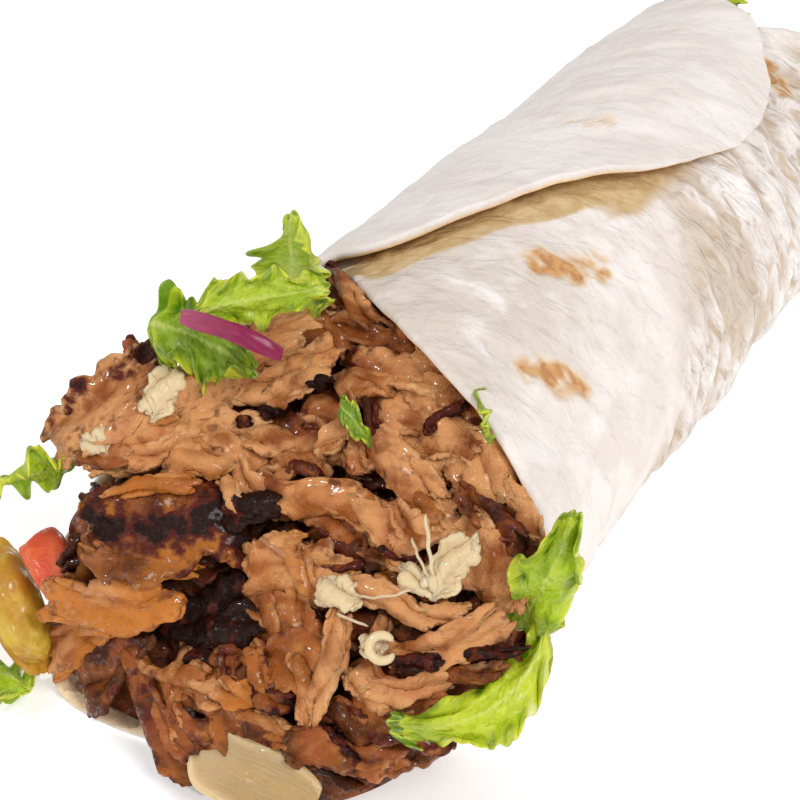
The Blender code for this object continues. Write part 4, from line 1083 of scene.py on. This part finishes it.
def along_spine(spine, s):
    """Point and unit direction of a smooth curve drawn by three points."""
    start, middle, end = np.array(spine, float)
    s = s[..., None]
    point = start * (1 - s) ** 2 + middle * 2 * s * (1 - s) + end * s * s
    way = (middle - start) * (1 - s) + (end - middle) * s
    return point, way / np.linalg.norm(way, axis=-1, keepdims=True)


def strip_axes(spine, side, s):
    """Points and direction of the spine, the unit side, and the normal of both."""
    at, way = along_spine(spine, s)
    side = np.array(side, float) / np.linalg.norm(side)
    normal = np.cross(way, side)
    return at, way, side, normal / np.linalg.norm(normal, axis=-1, keepdims=True)


def scallop(x):
    """Rounded lobes with sharp notches between them, one for each unit of x."""
    return np.abs(np.sin(math.pi * x))

# %% The frilly surface of a leaf
def leaf_points(spine, side, width, ruffle, cup, phase, seed, rows, columns):
    """Middle surface of a leaf, cm: a strip along its spine with a lobed margin,
    lifted by a slow wave and by quick frills at the margin."""
    s, t = np.meshgrid(np.linspace(0, 1, rows), np.linspace(-1, 1, columns), indexing="ij")
    at, way, side, normal = strip_axes(spine, side, s)
    broad = width * (0.55 + 0.45 * np.sin(math.pi * np.minimum(1.0, s + 0.15)))
    broad = broad * (1 + 0.16 * np.sin(11 * s + phase))
    half = np.where(t > 0, 1.0, -1.0)
    wander = 0.5 * noise(s * 2.5 + half, half * 3 + 0 * s, seed)
    lobes = 0.3 * (scallop(3.2 * s + wander + phase + 0.37 * half) - 0.4) \
        + 0.1 * (scallop(9 * s + 2 * wander + half) - 0.5) \
        + 0.12 * noise(s * 4, half * 5 + 0 * s, seed + 3)
    reach = t * (1 + lobes * np.abs(t) ** 1.5 + 0.06)
    tip = 0.3 * width * (ease((s - 0.5) / 0.5) - ease((0.5 - s) / 0.5)) * (0.4 - t ** 2)
    tip = tip + 0.07 * width * (scallop(1.9 * t + phase) - 0.5) * ease((s - 0.6) / 0.4)
    frill = ease((np.abs(t) - 0.35) / 0.65)
    quick = ruffle * frill * (1.15 * np.sin(19 * s + 4 * t + phase)
                              + 0.5 * np.sin(37 * s - 3 * t + 2 * phase))
    crumple = 0.6 * ruffle * fractal(s * 3.5, t * 2.0, seed + 6, 2)
    lift = ruffle * np.abs(t) ** 1.3 * np.sin(9 * s + phase + 1.4 * t) - cup * t ** 2
    return at + side * (reach * broad / 2)[..., None] + way * tip[..., None] \
        + normal * (lift + quick + crumple)[..., None]

# %% [markdown]
# Lettuce is thin and full of water, so light comes through it: the finish mixes
# in some subsurface light, darkens the folds with painted shade, and is paler and
# yellower at the ribs and the margin.  A net of veins, drawn round cells, gives
# the blistered skin.

# %% Finish of the lettuce
# lightness of each leaf: the inner ones are set dark as painted shade
LIGHTNESS = {"lettuce_top": 0.55, "lettuce_left": 0.25, "lettuce_far_left": 0.5,
             "lettuce_low_left": 0.5, "lettuce_right": 0.5, "lettuce_low_right": 0.9,
             "lettuce_rim": 0.5, "lettuce_bit": 0.1, "lettuce_tail": 0.5}
green = Finish("lettuce_leaf", 0.38, Specular_IOR_Level=0.3, Subsurface_Weight=0.3,
               Subsurface_Scale=0.004, Subsurface_Radius=(0.5, 1.0, 0.15),
               Coat_Roughness=0.2)
spot = green.place()
margin, rib, light, fold = map(green.attribute, ("margin", "rib", "light", "fold"))
inner_leaf = green.mix(light, (0.07, 0.17, 0.004), (0.46, 0.55, 0.018))
outer_leaf = green.mix(light, (0.56, 0.62, 0.04), (0.72, 0.74, 0.06))
leaf = green.mix(mottle(green, spot, 150.0, 0.35, 0.65), inner_leaf,
                 green.mix(light, (0.16, 0.31, 0.008), (0.56, 0.63, 0.025)))
leaf = green.tint(leaf, margin, 0.85, outer_leaf)
# painted shade: the folds of the leaf are tinted dark green
leaf = green.tint(leaf, green.step(fold, 0.1, 0.9), green.blend(light, 1.0, 0.4),
                  (0.05, 0.13, 0.004))
leaf = green.tint(leaf, rib, 0.6, (0.66, 0.70, 0.22))
veins = green.step(green.cells(green.place("UV", (26, 12, 1)), 1.0), 0.25, 0.75)
leaf = green.tint(leaf, veins, 0.15, (0.52, 0.62, 0.08))
lettuce = green.done(
    Base_Color=leaf, Coat_Weight=green.times(mottle(green, spot, 240.0, 0.45, 0.6), 0.45),
    Normal=green.bump(green.math("ADD", veins, green.noise(spot, 500.0)), 0.5, 0.0006))
print("finish:", lettuce.name, "for", len(LEAVES), "leaves")

# %% [markdown]
# A leaf's mesh also says how light each point is.  The small inner leaves are
# set darker, painted shade for their place deep in the mouth, and the low one on
# the right darkens towards its tip.

# %% The leaves
LEAF_GRID, SCRAP_GRID, SCRAP_WIDTH = (110, 46), (56, 26), 0.8


def leaf_mesh(spec, seed):
    """Parts and masks of one leaf; fold is how far a point lies off the mean of
    its neighbours, which finds the hollows that get painted shade."""
    rows, columns = LEAF_GRID if spec[2] > SCRAP_WIDTH else SCRAP_GRID
    points = leaf_points(*spec, seed, rows, columns)
    points[..., 2] = np.maximum(points[..., 2], 0.04)
    s, t = np.meshgrid(np.linspace(0, 1, rows), np.linspace(-1, 1, columns), indexing="ij")
    smooth = (np.roll(points, 6, 0) + np.roll(points, -6, 0)) / 2
    fold = np.einsum("ijk,ijk->ij", smooth - points, grid_normals(points))
    masks = {"margin": ease((np.maximum(np.abs(t), np.abs(2 * s - 1)) - 0.7) / 0.3),
             "along": s,
             "rib": np.exp(-(t / 0.07) ** 2) * (1 - 0.6 * s)
             + 0.5 * np.exp(-((t - np.sign(t) * (s * 6 % 1) * 0.9) / 0.05) ** 2) * ease(1 - s),
             "fold": np.clip(np.abs(fold) * 9, 0, 1)}
    return sheet_parts(points * CM, LEAF + 0 * s), {k: both_sides(m) for k, m in masks.items()}


for number, (leaf_name, leaf_spec) in enumerate(LEAVES.items()):
    made = [leaf_mesh(leaf_spec, 400 + 17 * number)]
    if leaf_name in LOW_LOBES:
        made.append(leaf_mesh(LOW_LOBES[leaf_name], 600 + number))
    leaf_masks = {k: np.concatenate([m[k] for _, m in made]) for k in made[0][1]}
    leaf_masks["light"] = LIGHTNESS[leaf_name] * (
        1 - 0.8 * ease((leaf_masks["along"] - 0.78) / 0.15) * (leaf_name == "lettuce_low_right"))
    dress(make_mesh(leaf_name, [parts for parts, _ in made], lettuce, **leaf_masks),
          "lettuce", leaf_name)

# %% [markdown]
# ## Onion, tomato and pickled pepper
# The small pieces give the wrap its colours.  A strip of red onion is purple and
# pales towards one end; a cut petal of cooked onion is pale and glassy; tomato
# shows red skin and paler flesh; the pickled pepper is a dull yellow.  Strips and
# petals are sheets, the rest are rounded bodies.

# %% Onion finishes
purple = Finish("red_onion_skin", 0.3, Subsurface_Weight=0.2, Subsurface_Scale=0.002,
                Subsurface_Radius=(1.0, 0.2, 0.4), Coat_Roughness=0.15,
                Specular_IOR_Level=0.25)
spot = purple.place()
lines = purple.step(purple.noise(purple.place("UV", (3, 40, 1)), 2.0, 3.0), 0.35, 0.7)
strip_colour = purple.mix(lines, (0.16, 0.002, 0.028), (0.36, 0.02, 0.11))
strip_colour = purple.tint(strip_colour, purple.attribute("margin"), 0.6, (0.58, 0.17, 0.27))
red_onion = purple.done(Base_Color=strip_colour, Normal=purple.bump(lines, 0.3, 0.0004),
                        Coat_Weight=purple.times(mottle(purple, spot, 260.0), 0.5))

glassy = Finish("cooked_onion", 0.3, Subsurface_Weight=0.4, Subsurface_Scale=0.004,
                Subsurface_Radius=(1.0, 0.85, 0.45), Coat_Roughness=0.15)
spot = glassy.place()
lines = glassy.step(glassy.noise(glassy.place("UV", (2, 26, 1)), 2.0, 3.0), 0.35, 0.7)
petal_colour = glassy.mix(lines, (0.42, 0.28, 0.11), (0.53, 0.38, 0.18))
petal_colour = glassy.tint(petal_colour, mottle(glassy, spot, 120.0), 0.6, (0.58, 0.36, 0.13))
petal_colour = glassy.tint(petal_colour, glassy.attribute("margin"), 0.9, (0.86, 0.65, 0.39))
wet = glassy.group(WET_SKIN, Vector=spot, Scale=300.0)
onion = glassy.done(Base_Color=petal_colour, Coat_Weight=wet["Film"],
                    Roughness=wet["Roughness"],
                    Normal=glassy.bump(glassy.math("ADD", wet["Height"], lines), 0.35, 0.0006))

# %% [markdown]
# Tomato and pickled pepper share one recipe: two colours in soft patches, another
# colour on one side, and the wet skin over all.  That side is the paler flesh of
# the tomato, and a darker strip of the pepper's skin.

# %% Tomato and pepper finishes
def wet_vegetable(name, inside, coat, colours, patches, side, side_share, dents, bump):
    """Finish of a cut vegetable: two colours in patches, the colour of one side by
    the margin mask, and a wet skin; inside is how far and how red light spreads."""
    cut = Finish(name, 0.3, Subsurface_Weight=0.3, Subsurface_Scale=inside[0],
                 Subsurface_Radius=inside[1], Coat_Roughness=coat)
    spot = cut.place()
    colour = cut.mix(mottle(cut, spot, patches), *colours)
    colour = cut.tint(colour, cut.attribute("margin"), side_share, side)
    wet = cut.group(WET_SKIN, Vector=spot, Scale=dents)
    return cut.done(Base_Color=colour, Coat_Weight=wet["Film"], Roughness=wet["Roughness"],
                    Normal=cut.bump(wet["Height"], 0.3, bump))


tomato = wet_vegetable("tomato_flesh", (0.003, (1.0, 0.25, 0.1)), 0.08,
                       ((0.66, 0.075, 0.022), (0.80, 0.17, 0.05)), 190.0,
                       (0.82, 0.36, 0.20), 0.8, 220.0, 0.0005)
pepper = wet_vegetable("brined_pepper", (0.004, (1.0, 0.7, 0.15)), 0.1,
                       ((0.46, 0.21, 0.004), (0.62, 0.42, 0.04)), 90.0,
                       (0.40, 0.17, 0.004), 0.6, 150.0, 0.0006)
print("finishes:", tomato.name, pepper.name)

# %% [markdown]
# A cut strip is a smooth sheet that tapers at both ends and keeps the curve of
# the onion's layer across its width.

# %% Strips and petals
# spine, side, width, ruffle, cup, phase; then thickness (m), finish and slot
STRIPS = {
    "red_onion_strip": ((((-2.7, -4.5, 7.98), (-1.85, -4.3, 7.95), (-0.97, -3.95, 7.45)),
                         (0.1, -0.6, -0.75), 0.33, 0.0, -0.03, 0.0), 0.0018,
                        red_onion, "red_onion"),
    "onion_petal": ((((-0.7, -7.4, 1.0), (0.4, -7.8, 1.1), (1.8, -7.5, 0.95)),
                     (0.1, -0.8, -0.5), 1.3, 0.03, 0.25, 0.5), 0.0024, onion, "onion"),
}


def petal_points(spine, side, width, ruffle, cup, phase, rows, columns):
    """Middle surface of a strip of onion, cm: tapered ends and a smooth cup."""
    s, t = np.meshgrid(np.linspace(0, 1, rows), np.linspace(-1, 1, columns), indexing="ij")
    at, _, side, normal = strip_axes(spine, side, s)
    broad = width * (0.35 + 0.65 * np.sqrt(np.clip(1 - (2 * s - 1) ** 4, 0, 1)))
    broad = broad * (1 + 0.05 * np.sin(11 * s + phase))
    lift = ruffle * np.sin(9 * s + phase + t) - cup * t ** 2 + 0.02 * noise(s * 5, t * 2, 70)
    return at + side * (t * broad / 2)[..., None] + normal * lift[..., None], s, t


for strip_name, (spec, thick, looks, slot) in STRIPS.items():
    strip_points, s, t = petal_points(*spec, 90, 24)
    strip_points[..., 2] = np.maximum(strip_points[..., 2], thick / CM / 2 + 0.02)
    rim = np.maximum(np.abs(t), np.abs(2 * s - 1))
    body = thick * (1 - 0.5 * rim ** 4)
    strip = make_mesh(strip_name, [sheet_parts(strip_points * CM, body)], looks,
                      margin=both_sides(0.4 * ease((np.abs(t) - 0.7) / 0.3)
                                        + 0.6 * ease(1 - 1.7 * s)))
    dress(strip, slot, strip_name)

# %% [markdown]
# A rounded piece starts as a squared-off ball: powers of sine and cosine below
# one push it towards a block.  It is bent along its length, roughened by noise
# and turned into place.

# %% Rounded pieces
# centre and size (cm), turns (degrees), squareness, bend; roughness, finish, slot
CHUNKS = {
    "tomato_piece": (((-4.6, -6.45, 2.9), (1.25, 0.85, 0.85), (20, 15, -25), 0.36, 0.1),
                     0.03, tomato, "tomato"),
    "pickled_pepper": (((-5.45, -6.75, 1.75), (2.6, 1.0, 1.4), (10, 35, -30), 0.8, 0.25),
                       0.05, pepper, "pickled_pepper"),
}


def chunk_rings(centre, size, turns, square, bend, rough, seed, rings=56, around=80):
    """Rings of a squared-off ball, bent and turned, in metres."""
    lat = np.linspace(-math.pi / 2, math.pi / 2, rings + 2)[1:-1, None]
    lon = np.linspace(0, 2 * math.pi, around + 1)[None, :-1]

    def soft(v):
        return np.sign(v) * np.abs(v) ** square
    ball = np.stack([soft(np.sin(lat)) + 0 * lon, soft(np.cos(lat)) * soft(np.cos(lon)),
                     soft(np.cos(lat)) * soft(np.sin(lon))], -1)
    bumpy = 1 + rough * 2 * (fractal(ball[..., 0] * 2 + 9, ball[..., 1] * 2 + 5 * ball[..., 2],
                                     seed, 3))
    p = ball * bumpy[..., None] * np.array(size) / 2
    p[..., 2] += bend * (0.4 - ball[..., 0] ** 2)
    turned = np.array(Euler([math.radians(v) for v in turns]).to_matrix())
    return (p @ turned.T + np.array(centre)) * CM, ball


for number, (chunk_name, (spec, rough, looks, slot)) in enumerate(CHUNKS.items()):
    rings, ball = chunk_rings(*spec, rough, 500 + 13 * number)
    parts = tube_parts(rings)
    one_side = np.concatenate([ease((-ball[..., 2] - 0.2) / 0.5).ravel(), [0, 0]])
    dress(make_mesh(chunk_name, [parts], looks, margin=one_side), slot, chunk_name)

# %% [markdown]
# Cooked onion in the meat has gone ragged: torn pale flakes with loose fibres,
# and one small ring curled up on itself.  The flakes come from the same recipe as
# the slices of meat, and the fibres and the ring are strands: circles strung
# along a line of points, thinner towards both ends.

# %% Ragged onion
def strand_parts(path, thickness):
    """Closed round strand along points (cm): circles across its direction."""
    path = np.array(path, float)
    ahead = np.gradient(path, axis=0)
    ahead /= np.linalg.norm(ahead, axis=1, keepdims=True)
    one = np.cross(ahead, [0.3, 0.2, 0.93])
    one /= np.linalg.norm(one, axis=1, keepdims=True)
    two = np.cross(ahead, one)
    share = np.linspace(-1, 1, len(path))
    radius = thickness / 2 * np.sqrt(np.clip(1.02 - share ** 6, 0, 1))[:, None, None]
    turn = np.linspace(0, 2 * math.pi, 13)[:-1]
    rings = path[:, None] + radius * (one[:, None] * np.cos(turn)[:, None]
                                      + two[:, None] * np.sin(turn)[:, None])
    return tube_parts(rings * CM)


def fibre(start, end, sag, thickness):
    """A loose fibre from start to end, bowed by a vector, all in cm."""
    s = np.linspace(0, 1, 24)[:, None]
    start, end, sag = (np.array(v, float) for v in (start, end, sag))
    path = start * (1 - s) + end * s + sag * 4 * s * (1 - s)
    return strand_parts(path + 0.015 * np.sin(17 * s + start), thickness)


def onion_pieces(name, flakes, strands):
    """Torn flakes on the heap, each with a look of onion, and strands."""
    made = [torn_slice(heap_front, -1, flake, 0.16, 800 + 7 * n, 34, 22)
            for n, flake in enumerate(flakes)]
    pale = [0.85 + 0.15 * m["pale"] for _, m in made] + [np.full(len(p[0]), 0.9) for p in strands]
    piece = make_mesh(name, [p for p, _ in made] + strands, onion, margin=np.concatenate(pale))
    dress(piece, "onion", name)


ring_turn = np.linspace(math.radians(30), math.radians(335), 40)[:, None]
ring_middle, ring_right, ring_up = (np.array(v) for v in (
    (2.3, -6.05, 3.8), (0.86, 0.51, 0.0), (-0.3, 0.45, 0.84)))
ring_path = ring_middle + 0.22 * (np.cos(ring_turn) * ring_right + np.sin(ring_turn) * ring_up)
onion_pieces("onion_shred", [
    (2.8, 4.6, 0.50, 1.15, 0.65, 70, 0, 0, 0.2, 1, 0, 0),
    (2.4, 4.4, 0.45, 0.8, 0.5, 10, 10, 0, 0.3, 1, 0, 0),
    (1.1, 3.9, 0.45, 0.75, 0.55, 20, 0, 0, 0.3, 1, 0, 0)], [
    fibre((2.75, -5.1, 4.9), (2.3, -4.6, 5.75), (0.05, -0.1, 0.0), 0.07),
    fibre((2.7, -5.1, 4.8), (2.1, -4.7, 5.2), (0.0, -0.1, 0.1), 0.05),
    fibre((2.5, -5.2, 4.6), (1.5, -5.5, 4.2), (0.0, -0.15, 0.0), 0.05),
    fibre((2.9, -5.0, 4.7), (3.3, -4.7, 5.4), (0.0, -0.1, 0.0), 0.05),
    fibre((1.2, -5.8, 3.9), (1.9, -5.8, 3.9), (0.0, -0.1, 0.1), 0.05)])
onion_pieces("onion_curl", [(2.0, 3.4, 0.40, 0.42, 0.34, 20, 0, 0, 0.2, 1, 0, 0)],
             [strand_parts(ring_path, 0.17)])
onion_pieces("onion_bit", [
    (-3.2, 6.0, 0.45, 0.95, 0.6, 75, 0, 0, 0.2, 1, 0, 0),
    (-4.0, 5.3, 0.40, 0.5, 0.4, 30, 0, 0, 0.3, 1, 0, 0)], [])

# %% [markdown]
# ## Floor and light
# A white floor that glows a little, like a light table, and a bright, even sky
# keep everything pale and clean.  A very soft sun from the right front models the
# roll, as a large softbox would.  A small sharp one from the front left only
# makes the fat glint.

# %% Floor and light
FLOOR_SIZE, FLOOR_GLOW, SKY_STRENGTH = 40.0, 0.3, 0.52
bpy.ops.mesh.primitive_plane_add(size=FLOOR_SIZE, location=(0, 0, 0))
floor = bpy.context.object
floor.name = "floor"
paper = Finish("white_floor", 0.9, Emission_Color=(1.0, 1.0, 1.0, 1.0),
               Emission_Strength=FLOOR_GLOW)
floor.data.materials.append(paper.done(Base_Color=(0.95, 0.95, 0.95)))

sky = bpy.data.worlds.new("sky")
sky.use_nodes = True
sky.node_tree.nodes["Background"].inputs["Color"].default_value = (1.0, 1.0, 1.0, 1.0)
sky.node_tree.nodes["Background"].inputs["Strength"].default_value = SKY_STRENGTH
bpy.context.scene.world = sky
bpy.context.scene.view_settings.view_transform = "Standard"


def add_sun(name, strength, angle, towards):
    """A sun shining along the vector `towards`; angle is its softness in degrees."""
    light = bpy.data.lights.new(name, "SUN")
    light.energy, light.angle = strength, math.radians(angle)
    lamp = bpy.data.objects.new(name, light)
    lamp.rotation_euler = Vector(towards).to_track_quat("-Z", "Y").to_euler()
    bpy.context.scene.collection.objects.link(lamp)


add_sun("softbox", 1.55, 25.0, (-0.66, 0.2, -0.72))
add_sun("spark", 0.85, 4.0, (0.35, 0.55, -0.75))
